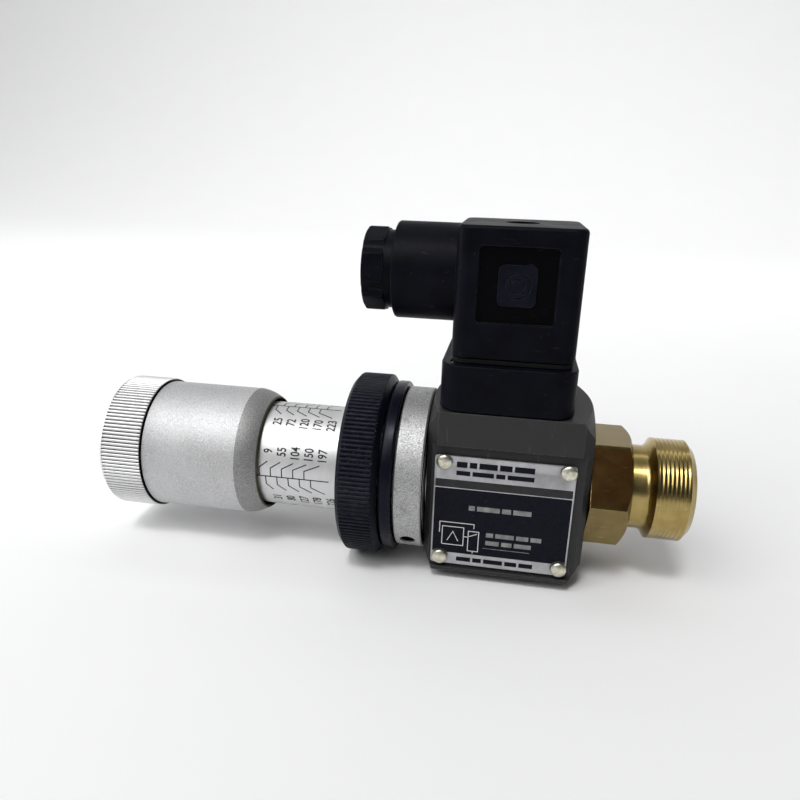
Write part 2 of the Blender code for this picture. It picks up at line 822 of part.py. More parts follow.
def make_connector_base():
    """Square moulded base with the pin slots, its screw holes and a central threaded boss."""
    low = (BASE_X0, -BASE_HALF_Y, BASE_Z0)
    high = (BASE_X1, BASE_HALF_Y, BASE_Z1)
    base = block("connector_base", low, high, "black_plastic", None, BASE_CORNER_R, 2, 6)
    combine(base, make_base_cavity())
    for number, (x, y, wide_x) in enumerate(pin_places()):
        combine(base, slot_cutter(f"base_pin_cutter_{number}", x, y, wide_x, BASE_Z1 - 5, 10))
    hole = rod_cutter("boss_cutter", PLUG_SCREW_HOLE_R, (0, 0, BASE_Z0 - 1), 14.0, TO_Z, 12)
    combine(base, hole)
    for index, (x, y) in enumerate(base_screw_places()):
        name = f"base_hole_cutter_{index}"
        combine(base, rod_cutter(name, 1.8, (x, y, BASE_Z0 - 1), 14.0, TO_Z, 12))
        head = rod_cutter(f"base_head_cutter_{index}", 2.5, (x, y, BASE_Z1 - 2.5), 4.0, TO_Z, 12)
        combine(base, head)
    return base


def make_base_cavity():
    """Wiring space under the base's floor, around the central boss."""
    half = BASE_CAVITY_HALF
    low = (-half, -half, BASE_Z0 - 2.0)
    cavity = block("base_cavity", low, (half, half, BASE_Z1 - 3.0), None)
    boss = rod_cutter("base_boss", 3.5, (0, 0, BASE_Z1 - 7.5), 6.0, TO_Z, SMALL_ROUND)
    return combine(cavity, boss)


def pin_places():
    """Three contact pins and the earth pin: x, y, and whether the blade is wide along X."""
    return (
        (PIN_PITCH_R, 0.0, False),
        (-PIN_PITCH_R, 0.0, False),
        (0.0, PIN_PITCH_R, True),
        (0.0, -PIN_PITCH_R, True),
    )


def slot_corners(x, y, wide_x, width, thickness):
    """Half sizes of an upright slot around a pin place, as low and high x, y pairs."""
    half_x = (width if wide_x else thickness) / 2
    half_y = (thickness if wide_x else width) / 2
    return (x - half_x, y - half_y), (x + half_x, y + half_y)


def slot_cutter(name, x, y, wide_x, z0, height, grow=0.0):
    """A cutter for one blade, a gap larger than the pin all round."""
    width = PIN_WIDTH + 2 * GAP + grow
    thickness = PIN_THICKNESS + 2 * GAP + grow
    low, high = slot_corners(x, y, wide_x, width, thickness)
    return block(name, (*low, z0), (*high, z0 + height), None)


def make_contact_pins():
    """Flat blade pins that stand up through the connector base."""
    names = ("contact_pin_1", "contact_pin_2", "contact_pin_3", "earth_pin")
    for name, (x, y, wide_x) in zip(names, pin_places()):
        low, high = slot_corners(x, y, wide_x, PIN_WIDTH, PIN_THICKNESS)
        block(name, (*low, BASE_Z0 + 5.2), (*high, BASE_Z1 + 9.0), "steel")


def make_base_screws():
    """Two sunk screws that hold the connector base on the body."""
    for number, (x, y) in enumerate(base_screw_places(), start=1):
        outline = [(0.0, 0.0), (0.0, 1.5), (15.9, 1.5), (15.9, 2.2), (17.8, 2.2), (17.8, 0.0)]
        place_at = (x, y, BODY_HEIGHT - 6.5)
        turned(f"base_screw_{number}", outline, "steel", None, place_at, TO_Z, 12)


def make_plug_gasket(plug):
    """Flat profile gasket between the connector base and the plug."""
    low = (-14.1, -13.7, BASE_Z1 + GAP)
    high = (14.1, 13.7, SHELL_Z0 - GAP)
    gasket = block("plug_gasket", low, high, "rubber", plug, 2.8, 2, 3)
    for number, (x, y, wide_x) in enumerate(pin_places()):
        combine(gasket, slot_cutter(f"gasket_cutter_{number}", x, y, wide_x, BASE_Z1 - 1, 6))
    hole = rod_cutter("gasket_hole", PLUG_SCREW_HOLE_R, (0, 0, BASE_Z1 - 1), 6.0, TO_Z, 12)
    return combine(gasket, hole)


def make_plug_shell(plug):
    """Moulded plug housing with its gland barrel, front recess and screw hole."""
    low = (-SHELL_HALF_X, -SHELL_HALF_Y, SHELL_Z0)
    high = (SHELL_HALF_X, SHELL_HALF_Y, SHELL_Z1)
    bm = block_mesh(low, high)
    bmesh.ops.bevel(
        bm, geom=edges_along(bm, 2), offset=SHELL_CORNER_R, segments=5, profile=0.5, affect="EDGES"
    )
    rim = [edge for edge in bm.edges if all(vert.co.z > SHELL_Z1 - 0.01 for vert in edge.verts)]
    bmesh.ops.bevel(bm, geom=rim, offset=1.0, segments=3, profile=0.5, affect="EDGES")
    shell = place("plug_shell", bm, "black_plastic", plug)
    combine(shell, make_front_recess())
    combine(shell, make_shell_cavity())
    combine(shell, make_gland_barrel(), "UNION")
    combine(shell, rod_cutter("cable_cutter", 5.3, (-15.4, 0, CABLE_Z), 5.0, (0, 0, 0), 20))
    combine(shell, rod_cutter("head_cutter", 4.0, (0, 0, SHELL_Z1 - 3.2), 5.0, TO_Z, 24))
    combine(shell, rod_cutter("screw_cutter", PLUG_SCREW_HOLE_R, (0, 0, 78.0), 9.0, TO_Z, 12))
    return shell


def make_gland_barrel():
    """Round barrel on the plug's side with the stepped bore of the cable gland."""
    outline = [
        (GLAND_X0, GLAND_BORE_R),
        (GLAND_X0, GLAND_R - 0.6),
        (GLAND_X0 + 0.6, GLAND_R),
        (-12.6, GLAND_R),
        (-12.6, CABLE_HOLE_R),
        (-14.6, CABLE_HOLE_R),
        (-14.6, 8.8),
        (-21.9, 8.8),
        (-21.9, GLAND_BORE_R),
    ]
    return turned("gland_barrel", outline, None, None, (0, 0, CABLE_Z), steps=ROUND)


def make_shell_cavity():
    """The space under the housing that takes the terminal insert and the wiring."""
    low = (-SHELL_CAVITY_HALF_X, -SHELL_CAVITY_HALF_Y, SHELL_Z0 - 2.0)
    high = (SHELL_CAVITY_HALF_X, SHELL_CAVITY_HALF_Y, SHELL_CAVITY_Z1)
    return block("shell_cavity", low, high, None, None, 1.5, 2, 2)


def make_front_recess():
    """Shallow square recess in the plug's front face."""
    low = (-9.1, -SHELL_HALF_Y - 2.0, 64.6)
    high = (8.6, -SHELL_HALF_Y + 1.0, 82.0)
    return block("front_recess", low, high, None, None, 1.0, 1, 2)


def make_terminal_insert(plug):
    """Terminal block inside the plug, with a pocket for each socket contact."""
    low = (-11.8, -11.4, SHELL_Z0 + 1.5)
    high = (11.8, 11.4, SHELL_Z0 + 14.0)
    insert = block("terminal_insert", low, high, "black_plastic", plug, 1.8, 2, 2)
    for number, (x, y, wide_x) in enumerate(pin_places()):
        cutter = slot_cutter(f"insert_cutter_{number}", x, y, wide_x, SHELL_Z0, 16, grow=1.8)
        combine(insert, cutter)
    hole = rod_cutter("insert_hole", PLUG_SCREW_HOLE_R, (0, 0, SHELL_Z0), 16.0, TO_Z, 12)
    return combine(insert, hole)


def make_socket_contacts(plug):
    """Four spring contacts that grip the blade pins."""
    for number, (x, y, wide_x) in enumerate(pin_places(), start=1):
        low, high = slot_corners(x, y, wide_x, PIN_WIDTH + 1.7, PIN_THICKNESS + 1.7)
        name = f"socket_contact_{number}"
        contact = block(name, (*low, SHELL_Z0 + 1.8), (*high, SHELL_Z0 + 12.0), "brass", plug)
        mouth = slot_cutter(f"{name}_mouth", x, y, wide_x, SHELL_Z0, BASE_Z1 + 9.3 - SHELL_Z0)
        combine(contact, mouth)


def make_plug_screw(plug):
    """Long captive screw that holds the plug on its base."""
    seat_z = SHELL_Z1 - 3.2 + GAP
    tip = BASE_Z1 - 5.5 - seat_z
    outline = [(tip, 0.0), (tip, 1.2), (tip + 0.4, 1.5), (0.0, 1.5), (0.0, 3.4), (2.0, 3.4), (2.3, 3.0)]
    outline.append((2.3, 0.0))
    screw = turned("plug_screw", outline, "steel", plug, (0, 0, seat_z), TO_Z, SMALL_ROUND)
    slot = block("screw_slot", (-5.0, -0.4, seat_z + 1.3), (5.0, 0.4, seat_z + 4.0), None)
    return combine(screw, slot)


def make_gland_grommet(gland):
    """Rubber sleeve that seals round the cable."""
    outline = [(-21.6, 5.3), (-21.6, 8.5), (-14.9, 8.5), (-14.9, 5.3)]
    return turned("gland_grommet", outline, "rubber", gland, steps=24)


def make_gland_washer(gland):
    """Slip washer between the gland nut and the grommet."""
    outline = [(-23.2, 5.5), (-23.2, 9.4), (-22.2, 9.4), (-22.2, 5.5)]
    return turned("gland_washer", outline, "steel", gland, steps=24)


def make_gland_nut(gland):
    """Compression screw of the cable gland, with a grip rim outside."""
    outline = [
        (GLAND_NUT_X0, CABLE_HOLE_R + 1.0),
        (GLAND_NUT_X0, GLAND_NUT_R - 0.6),
        (GLAND_NUT_X0 + 0.6, GLAND_NUT_R),
        (GLAND_NUT_X1, GLAND_NUT_R),
        (GLAND_NUT_X1, 9.5),
        (-23.5, 9.5),
        (-23.5, CABLE_HOLE_R),
        (GLAND_NUT_X0 + 1.0, CABLE_HOLE_R),
    ]
    return turned("gland_nut", outline, "black_plastic", gland, steps=24)


def build():
    """Make every sub-part of the switch."""
    clear_scene()
    axis = axis_empty("switch_axis", (0, 0, AXIS_Z))
    plug = axis_empty("plug_axis", (0, 0, 0))
    gland = axis_empty("gland_axis", (0, 0, CABLE_Z))
    make_switch_body()
    make_nameplate()
    make_rivets()
    make_threaded_neck(axis)
    make_flange_ring(axis)
    make_clamp_ring(axis)
    make_ring_nut(axis)
    make_scale_barrel(axis)
    make_spindle_bush(axis)
    make_adjusting_sleeve(axis)
    make_sleeve_wiper(axis)
    make_knurled_cap(axis)
    make_knob_screw(axis)
    make_spindle(axis)
    make_thrust_ball(axis)
    make_upper_spring_plate(axis)
    make_lower_spring_plate(axis)
    make_main_spring(axis)
    make_push_rod(axis)
    make_actuator_arm()
    make_piston(axis)
    make_piston_bush(axis)
    ring_seal("piston_seal", 20.95, 6.15, 1.75, axis)
    ring_seal("fitting_o_ring", BODY_X1 - 1.0, 10.85, 0.8, axis)
    make_brass_fitting(axis)
    make_microswitch_case()
    make_microswitch_plunger()
    make_microswitch_bracket()
    make_microswitch_screws()
    make_microswitch_terminals()
    make_lead_wires()
    make_connector_base()
    make_contact_pins()
    make_base_screws()
    make_plug_gasket(plug)
    make_plug_shell(plug)
    make_terminal_insert(plug)
    make_socket_contacts(plug)
    make_plug_screw(plug)
    make_gland_grommet(gland)
    make_gland_washer(gland)
    make_gland_nut(gland)


build()
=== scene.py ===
"""Looks of the pressure switch: fine surfaces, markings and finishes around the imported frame.

Lengths are in millimetres until a mesh is made, and meshes are in metres in the frame's axes.
The switch axis runs along X: the setting knob is at -X, the port at +X, the nameplate at -Y.
Angles about that axis are 0 at the front (-Y) and grow towards the top (+Z).
"""
import math

import bmesh
import bpy
import numpy as np
from mathutils import Euler, Matrix, Vector


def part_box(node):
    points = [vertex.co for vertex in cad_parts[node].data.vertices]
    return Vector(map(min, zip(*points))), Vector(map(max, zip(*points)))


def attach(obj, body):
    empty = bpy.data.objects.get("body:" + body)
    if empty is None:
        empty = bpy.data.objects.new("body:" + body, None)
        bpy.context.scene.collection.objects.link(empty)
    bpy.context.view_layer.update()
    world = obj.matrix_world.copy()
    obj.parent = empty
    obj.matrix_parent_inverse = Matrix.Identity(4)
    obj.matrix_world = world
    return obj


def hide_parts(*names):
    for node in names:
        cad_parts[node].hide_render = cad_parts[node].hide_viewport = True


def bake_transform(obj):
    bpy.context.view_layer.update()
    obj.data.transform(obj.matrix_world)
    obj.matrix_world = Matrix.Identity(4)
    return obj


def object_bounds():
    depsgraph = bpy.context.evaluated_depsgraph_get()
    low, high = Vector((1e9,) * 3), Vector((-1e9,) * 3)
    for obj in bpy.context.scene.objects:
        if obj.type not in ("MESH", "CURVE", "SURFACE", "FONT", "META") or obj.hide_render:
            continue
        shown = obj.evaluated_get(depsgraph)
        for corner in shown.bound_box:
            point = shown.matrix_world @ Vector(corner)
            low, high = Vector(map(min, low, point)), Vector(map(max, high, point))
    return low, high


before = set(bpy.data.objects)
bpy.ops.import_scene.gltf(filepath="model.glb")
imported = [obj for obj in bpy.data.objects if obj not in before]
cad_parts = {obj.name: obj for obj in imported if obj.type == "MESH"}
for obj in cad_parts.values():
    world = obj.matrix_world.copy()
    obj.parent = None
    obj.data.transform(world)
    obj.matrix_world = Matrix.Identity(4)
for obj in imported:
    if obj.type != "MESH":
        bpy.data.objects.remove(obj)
CAD_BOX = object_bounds()

MM = 0.001
FULL_TURN = 2.0 * math.pi
FINE_STEPS = 256
MEDIUM_STEPS = 128
SMALL_STEPS = 48
SMOOTH_ANGLE = math.radians(32.0)


def span(node):
    """Lowest and highest corner of a CAD node in millimetres."""
    low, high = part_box(node)
    return low / MM, high / MM


def round_span(node):
    """Start, end and radius of a CAD node turned about the switch axis."""
    low, high = span(node)
    return low.x, high.x, (high.z - low.z) / 2


def centre_of(node):
    """Centre of a CAD node in millimetres."""
    low, high = span(node)
    return tuple((low[k] + high[k]) / 2 for k in range(3))


BODY_LOW, BODY_HIGH = span("switch_body")
AXIS_Z = (BODY_LOW.z + BODY_HIGH.z) / 2
CAP_X0, CAP_X1, CAP_R = round_span("knurled_cap")
SLEEVE_X0, SLEEVE_MOUTH_X, SLEEVE_R = round_span("adjusting_sleeve")
BARREL_X0, BARREL_X1, BARREL_R = round_span("scale_barrel")
NECK_X0, NECK_X1, NECK_R = round_span("threaded_neck")
NUT_X0, NUT_X1, NUT_R = round_span("ring_nut")
CLAMP_X0, CLAMP_X1, CLAMP_R = round_span("clamp_ring")
FLANGE_X0, FLANGE_X1, FLANGE_R = round_span("flange_ring")
PLATE_LOW, PLATE_HIGH = span("nameplate")
BASE_LOW, BASE_HIGH = span("connector_base")
SHELL_LOW, SHELL_HIGH = span("plug_shell")
FITTING_X0, PORT_END_X, _ = round_span("brass_fitting")
GLAND_NUT_LOW, GLAND_NUT_HIGH = span("gland_nut")
CABLE_Z = (GLAND_NUT_LOW.z + GLAND_NUT_HIGH.z) / 2
GLAND_NUT_R = (GLAND_NUT_HIGH.z - GLAND_NUT_LOW.z) / 2
SCREW_LOW, SCREW_HIGH = span("plug_screw")
KNOB_SCREW_X0, KNOB_SCREW_X1, KNOB_SCREW_R = round_span("knob_screw")
RIVETS = [f"nameplate_rivet_{number}" for number in range(1, 5)]

GAP = 0.3
RING_BORE_R = NECK_R + 0.4
CAP_TEETH = 115
NUT_TEETH = 130
PORT_NECK_R = 10.7
PORT_THREAD_R = 12.9
PORT_BORE_R = 5.9
THREAD_PITCH = 1.0
THREAD_DEPTH = 0.16
HEX_ACROSS_FLATS = 27.0
HEX_X1 = 31.2
GLAND_R = 11.8
CABLE_HOLE_R = 5.5


# Materials


class Finish:
    """One procedural material: a Principled shader fed by noise, lathe rings, edge wear and painted edge
    highlights.
    """

    def __init__(self, name, metallic=0.0, specular=0.5):
        self.material = bpy.data.materials.new(name)
        self.material.use_nodes = True
        self.tree = self.material.node_tree
        self.shader = next(n for n in self.tree.nodes if n.type == "BSDF_PRINCIPLED")
        self.shader.inputs["Metallic"].default_value = metallic
        self.shader.inputs["Specular IOR Level"].default_value = specular
        self.place = self.node("ShaderNodeTexCoord").outputs["Object"]
        self.normal = None

    def node(self, kind, **settings):
        """A new node with some of its settings changed."""
        made = self.tree.nodes.new(kind)
        for key, value in settings.items():
            setattr(made, key, value)
        return made

    def feed(self, socket, value):
        """Link a socket, or write a plain number or colour into it."""
        if isinstance(value, bpy.types.NodeSocket):
            self.tree.links.new(value, socket)
        else:
            socket.default_value = value

    def math(self, operation, first, second=0.0, clamp=False):
        """One Math node."""
        made = self.node("ShaderNodeMath", operation=operation, use_clamp=clamp)
        self.feed(made.inputs[0], first)
        self.feed(made.inputs[1], second)
        return made.outputs[0]

    def noise(self, size, detail=3.0, stretch=(1.0, 1.0, 1.0), rough=0.5):
        """Noise with features of about this size in millimetres, stretched along some axes."""
        mapping = self.node("ShaderNodeMapping")
        self.feed(mapping.inputs["Vector"], self.place)
        mapping.inputs["Scale"].default_value = [1.0 / (size * MM * s) for s in stretch]
        made = self.node("ShaderNodeTexNoise")
        self.feed(made.inputs["Vector"], mapping.outputs["Vector"])
        made.inputs["Scale"].default_value = 1.0
        made.inputs["Detail"].default_value = detail
        made.inputs["Roughness"].default_value = rough
        return made.outputs["Fac"]

    def cells(self, size):
        """Distance to scattered points about this far apart, for pits and specks."""
        made = self.node("ShaderNodeTexVoronoi", feature="F1")
        self.feed(made.inputs["Vector"], self.place)
        made.inputs["Scale"].default_value = 1.0 / (size * MM)
        return made.outputs["Distance"]

    def polar(self, axis_z):
        """Place along X and distance from an axis at this height, in metres."""
        parts = self.node("ShaderNodeSeparateXYZ")
        self.feed(parts.inputs[0], self.place)
        up = self.math("SUBTRACT", parts.outputs["Z"], axis_z * MM)
        squares = self.math("MULTIPLY", parts.outputs["Y"], parts.outputs["Y"])
        squares = self.math("ADD", squares, self.math("MULTIPLY", up, up))
        return parts.outputs["X"], self.math("SQRT", squares)

    def within(self, low, high):
        """1 inside the box between two corners in millimetres and 0 outside."""
        parts = self.node("ShaderNodeSeparateXYZ")
        self.feed(parts.inputs[0], self.place)
        inside = 1.0
        for index in range(3):
            above = self.math("GREATER_THAN", parts.outputs[index], low[index] * MM)
            below = self.math("LESS_THAN", parts.outputs[index], high[index] * MM)
            inside = self.math("MULTIPLY", inside, self.math("MULTIPLY", above, below))
        return inside

    def rings(self, axis_z, pitch, detail=2.0):
        """Lathe rings on round and flat faces, about one every pitch millimetres."""
        along, radius = self.polar(axis_z)
        made = self.node("ShaderNodeTexNoise", noise_dimensions="1D")
        self.feed(made.inputs["W"], self.math("ADD", along, radius))
        made.inputs["Scale"].default_value = 1.0 / (pitch * MM)
        made.inputs["Detail"].default_value = detail
        return made.outputs["Fac"]

    def ramp(self, value, low, high):
        """The value spread so that low gives 0 and high gives 1, held within them."""
        made = self.node("ShaderNodeMapRange", clamp=True)
        self.feed(made.inputs["Value"], value)
        made.inputs["From Min"].default_value = low
        made.inputs["From Max"].default_value = high
        return made.outputs["Result"]

    def edge(self, width):
        """1 along the piece's edges and 0 on open faces."""
        gain = 6.0
        bevel = self.node("ShaderNodeBevel", samples=4)
        bevel.inputs["Radius"].default_value = width * MM
        flat = self.node("ShaderNodeNewGeometry").outputs["Normal"]
        dot = self.node("ShaderNodeVectorMath", operation="DOT_PRODUCT")
        self.feed(dot.inputs[0], bevel.outputs["Normal"])
        self.feed(dot.inputs[1], flat)
        away = self.math("SUBTRACT", 1.0, dot.outputs["Value"])
        return self.math("MULTIPLY", away, gain, clamp=True)

    def tint(self, factor, first, second):
        """Colour mixed from first at 0 to second at 1."""
        made = self.node("ShaderNodeMix", data_type="RGBA")
        self.feed(made.inputs[0], factor)
        self.feed(made.inputs[6], first if not isinstance(first, tuple) else (*first, 1.0))
        self.feed(made.inputs[7], second if not isinstance(second, tuple) else (*second, 1.0))
        return made.outputs[2]

    def over(self, base, mask, share, colour):
        """The base colour with this share of another one where the mask is 1."""
        return self.tint(self.math("MULTIPLY", mask, share), base, colour)

    def between(self, factor, first, second):
        """Number mixed from first at 0 to second at 1."""
        made = self.node("ShaderNodeMix", data_type="FLOAT")
        self.feed(made.inputs[0], factor)
        self.feed(made.inputs[2], first)
        self.feed(made.inputs[3], second)
        return made.outputs[0]

    def bump(self, height, depth, strength=0.5):
        """Add a bump of this depth in millimetres to the ones already there."""
        made = self.node("ShaderNodeBump")
        made.inputs["Strength"].default_value = strength
        made.inputs["Distance"].default_value = depth * MM
        self.feed(made.inputs["Height"], height)
        if self.normal is not None:
            self.feed(made.inputs["Normal"], self.normal)
        self.normal = made.outputs["Normal"]

    def done(self, colour, roughness):
        """Connect colour, roughness and bumps, and return the material."""
        self.feed(self.shader.inputs["Base Color"], colour)
        self.feed(self.shader.inputs["Roughness"], roughness)
        if self.normal is not None:
            self.feed(self.shader.inputs["Normal"], self.normal)
        return self.material


def knurl_silver():
    """Bright turned aluminium of the knurled cap, with painted shade darkening its grooves and near-black
    painted shade where the grooves run out at both ends.
    """
    f = Finish("knurl_silver", metallic=1.0)
    along, radius = f.polar(AXIS_Z)
    crest = f.ramp(radius, (CAP_R - 0.34) * MM, (CAP_R - 0.10) * MM)
    start = f.math("LESS_THAN", along, (CAP_X0 + 1.0) * MM)
    crest = f.math("MAXIMUM", crest, start)
    front_groove_shade = f.ramp(along, (CAP_X0 + 1.75) * MM, (CAP_X0 + 1.5) * MM)
    rear_groove_shade = f.ramp(along, (CAP_X1 - 1.1) * MM, (CAP_X1 - 0.7) * MM)
    wear = f.noise(0.8, 4.0, (1.0, 3.0, 3.0))
    # Painted shade: the grooves are much darker than the crests, varied in patches.
    groove = f.tint(wear, (0.10, 0.10, 0.10), (0.30, 0.30, 0.295))
    # Painted shade: near the front chamfer and the rear rim the grooves go near black.
    groove = f.tint(f.math("MAXIMUM", front_groove_shade, rear_groove_shade), groove, (0.008, 0.008, 0.008))
    face = f.tint(wear, (0.66, 0.66, 0.66), (0.84, 0.84, 0.835))
    f.bump(f.rings(AXIS_Z, 0.12), 0.006)
    f.bump(f.noise(0.25, 3.0), 0.01, 0.4)
    return f.done(f.tint(crest, groove, face), f.between(wear, 0.40, 0.54))


def blasted_silver():
    """Bead-blasted aluminium of the adjusting sleeve, with fine bright and dark grains, a painted highlight
    along its edges, painted shade on the tapered mouth and near-black painted shade inside it.
    """
    f = Finish("blasted_silver", metallic=1.0)
    fine = f.noise(0.22, 4.0, rough=0.75)
    broad = f.noise(9.0, 3.0)
    grain = f.ramp(fine, 0.36, 0.66)
    light = f.tint(grain, (0.38, 0.38, 0.385), (0.80, 0.80, 0.805))
    light = f.over(light, f.ramp(broad, 0.35, 0.75), 0.5, (0.66, 0.665, 0.67))
    speck = f.ramp(f.cells(2.6), 0.055, 0.035)
    light = f.tint(speck, light, (0.22, 0.22, 0.22))
    # Painted highlight: all edges lightened evenly.
    light = f.tint(f.edge(0.15), light, (0.92, 0.92, 0.91))
    along, radius = f.polar(AXIS_Z)
    # Painted shade: the tapered mouth gets a darker copy of the same grain.
    taper = f.math("GREATER_THAN", along, (SLEEVE_MOUTH_X - 5.5) * MM)
    shade = f.tint(grain, (0.13, 0.13, 0.127), (0.42, 0.42, 0.41))
    light = f.over(light, taper, 0.8, shade)
    lip = f.math("GREATER_THAN", along, (SLEEVE_MOUTH_X - 0.32) * MM)
    light = f.tint(lip, light, (0.105, 0.098, 0.062))
    # Painted shade: near black inside the mouth, where the bore lies in shadow.
    inside = f.math("LESS_THAN", radius, 15.12 * MM)
    light = f.tint(inside, light, (0.012, 0.011, 0.008))
    f.bump(fine, 0.03, 0.55)
    f.bump(f.noise(0.9, 2.0), 0.02, 0.25)
    return f.done(light, f.between(grain, 0.70, 0.58))


def scale_silver():
    """Finely turned, clear-anodised aluminium of the scale barrel."""
    f = Finish("scale_silver", metallic=1.0)
    lathe = f.rings(AXIS_Z, 0.09, 3.0)
    cloud = f.noise(4.0, 3.0, (1.0, 2.2, 2.2))
    light = f.tint(f.ramp(cloud, 0.3, 0.75), (0.68, 0.68, 0.685), (0.82, 0.82, 0.82))
    light = f.over(light, lathe, 0.35, (0.54, 0.54, 0.54))
    smear = f.ramp(f.noise(1.6, 4.0, (3.0, 0.8, 0.8)), 0.62, 0.75)
    light = f.over(light, smear, 0.4, (0.66, 0.66, 0.655))
    f.bump(lathe, 0.006, 0.5)
    return f.done(light, f.between(lathe, 0.42, 0.56))


def scale_ink():
    """Black filled engraving of the scale."""
    f = Finish("scale_ink", specular=0.3)
    worn = f.ramp(f.noise(0.35, 3.0), 0.62, 0.78)
    ink = f.tint(worn, (0.012, 0.012, 0.013), (0.16, 0.16, 0.16))
    return f.done(ink, f.between(worn, 0.45, 0.6))


def nut_black():
    """Black anodised ring nut, rubbed grey along the crests of its knurl."""
    f = Finish("nut_black", metallic=0.12, specular=0.08)
    _, radius = f.polar(AXIS_Z)
    crest = f.ramp(radius, (NUT_R - 0.22) * MM, (NUT_R + 0.02) * MM)
    patch = f.ramp(f.noise(1.7, 4.0), 0.42, 0.70)
    rubbed = f.math("MULTIPLY", crest, f.between(patch, 0.25, 0.9))
    dye = f.tint(f.noise(5.0, 2.0), (0.0025, 0.003, 0.007), (0.006, 0.0066, 0.013))
    dye = f.tint(rubbed, dye, (0.021, 0.023, 0.034))
    chip = f.math("MULTIPLY", f.edge(0.12), f.ramp(f.noise(0.6, 4.0), 0.52, 0.66))
    dye = f.tint(chip, dye, (0.30, 0.30, 0.31))
    f.bump(f.rings(AXIS_Z, 0.15), 0.008, 0.5)
    f.bump(f.noise(0.3, 3.0), 0.012, 0.4)
    return f.done(dye, f.between(f.noise(2.5, 3.0), 0.30, 0.46))


def ring_black():
    """Smooth black anodised finish of the clamp ring, glossy with fine turning lines and a painted highlight
    along its edges.
    """
    f = Finish("ring_black", metallic=0.1, specular=0.12)
    lathe = f.rings(AXIS_Z, 0.12)
    dye = f.tint(lathe, (0.0025, 0.003, 0.008), (0.006, 0.0066, 0.014))
    # Painted highlight: edges lightened evenly.
    dye = f.over(dye, f.edge(0.16), 0.6, (0.17, 0.17, 0.19))
    dust = f.ramp(f.cells(3.4), 0.045, 0.03)
    dye = f.tint(dust, dye, (0.35, 0.35, 0.36))
    f.bump(lathe, 0.005, 0.5)
    return f.done(dye, f.between(f.noise(1.8, 3.0), 0.22, 0.36))


def cast_silver():
    """Rough silvery flange ring, tumbled, with dark pits in its skin, a painted highlight along its edges and
    painted shade in its tommy-bar holes.
    """
    f = Finish("cast_silver", metallic=1.0)
    fine = f.noise(0.30, 5.0, (1.3, 1.0, 1.0), rough=0.8)
    grain = f.ramp(fine, 0.36, 0.64)
    light = f.tint(grain, (0.27, 0.27, 0.275), (0.66, 0.66, 0.66))
    pits = f.ramp(f.noise(0.42, 2.0), 0.685, 0.735)
    light = f.tint(pits, light, (0.09, 0.09, 0.09))
    stain = f.ramp(f.noise(5.0, 3.0), 0.60, 0.72)
    light = f.over(light, stain, 0.5, (0.24, 0.24, 0.235))
    # Painted highlight: edges lightened evenly.
    light = f.over(light, f.edge(0.18), 0.7, (0.80, 0.80, 0.80))
    _, radius = f.polar(AXIS_Z)
    # Painted shade: everything more than 0.42 mm inside the outer rim, such as the tommy-bar holes, goes near
    # black.
    light = f.tint(f.math("LESS_THAN", radius, (FLANGE_R - 0.42) * MM), light, (0.012, 0.012, 0.012))
    f.bump(fine, 0.05, 0.6)
    f.bump(f.math("SUBTRACT", 1.0, pits), 0.04, 0.5)
    return f.done(light, f.between(grain, 0.66, 0.50))


def body_black():
    """Matt black anodised body, fine grained and a little scuffed, lighter along its edges."""
    f = Finish("body_black", metallic=0.1, specular=0.20)
    fine = f.noise(0.20, 4.0, rough=0.7)
    cloud = f.noise(7.0, 3.0)
    dye = f.tint(f.ramp(fine, 0.35, 0.68), (0.018, 0.018, 0.0185), (0.048, 0.048, 0.049))
    dye = f.over(dye, f.ramp(cloud, 0.4, 0.7), 0.5, (0.036, 0.036, 0.037))
    scuff = f.ramp(f.noise(2.2, 5.0, (0.25, 1.0, 2.2)), 0.66, 0.74)
    dye = f.over(dye, scuff, 0.5, (0.12, 0.12, 0.122))
    # Edges lightened in patches: partly scuffed wear, partly a painted edge highlight.
    edge_wear_and_highlight = f.math("MULTIPLY", f.edge(0.22), f.ramp(f.noise(1.2, 4.0), 0.30, 0.62))
    dye = f.over(dye, edge_wear_and_highlight, 0.75, (0.19, 0.19, 0.195))
    f.bump(fine, 0.022, 0.5)
    f.bump(f.noise(0.7, 2.0), 0.015, 0.3)
    return f.done(dye, f.between(fine, 0.46, 0.60))


def moulded_black(name, grain=0.28, gloss=0.36, highlight_lift=1.0):
    """Moulded black nylon with a faint blue cast, a fine spark texture and light scuffs, painted shade in the
    plug's front recess, and edges lightened as wear and painted highlight.
    """
    f = Finish(name, specular=0.05)
    fine = f.noise(grain, 3.0, rough=0.6)
    cloud = f.noise(6.0, 3.0)
    # Scaling both colours up gives a lighter copy of this black: a painted highlight, used for the pictogram
    # badge.
    deep = tuple(highlight_lift * c for c in (0.0020, 0.0022, 0.0045))
    pale = tuple(highlight_lift * c for c in (0.0042, 0.0046, 0.0082))
    dye = f.tint(f.ramp(cloud, 0.3, 0.7), deep, pale)
    # Painted shade: the floor of the plug's front recess goes near black.
    recess = f.within((-9.0, SHELL_LOW.y + 0.9, 64.8), (8.5, SHELL_LOW.y + 1.1, 81.9))
    dye = f.tint(recess, dye, (0.0006, 0.0006, 0.0012))
    scuff = f.ramp(f.noise(1.4, 5.0, (2.5, 0.6, 0.6)), 0.66, 0.76)
    dye = f.over(dye, scuff, 0.45, (0.030, 0.031, 0.036))
    dust = f.ramp(f.cells(1.9), 0.045, 0.028)
    dye = f.over(dye, dust, 0.6, (0.12, 0.12, 0.12))
    # Edges lightened in patches: partly scuffed wear, partly a painted edge highlight.
    edge_wear_and_highlight = f.math("MULTIPLY", f.edge(0.25), f.ramp(f.noise(1.0, 4.0), 0.35, 0.65))
    dye = f.over(dye, edge_wear_and_highlight, 0.7, (0.055, 0.056, 0.062))
    f.bump(fine, 0.018, 0.45)
    return f.done(dye, f.between(f.ramp(cloud, 0.2, 0.8), gloss, gloss + 0.16))


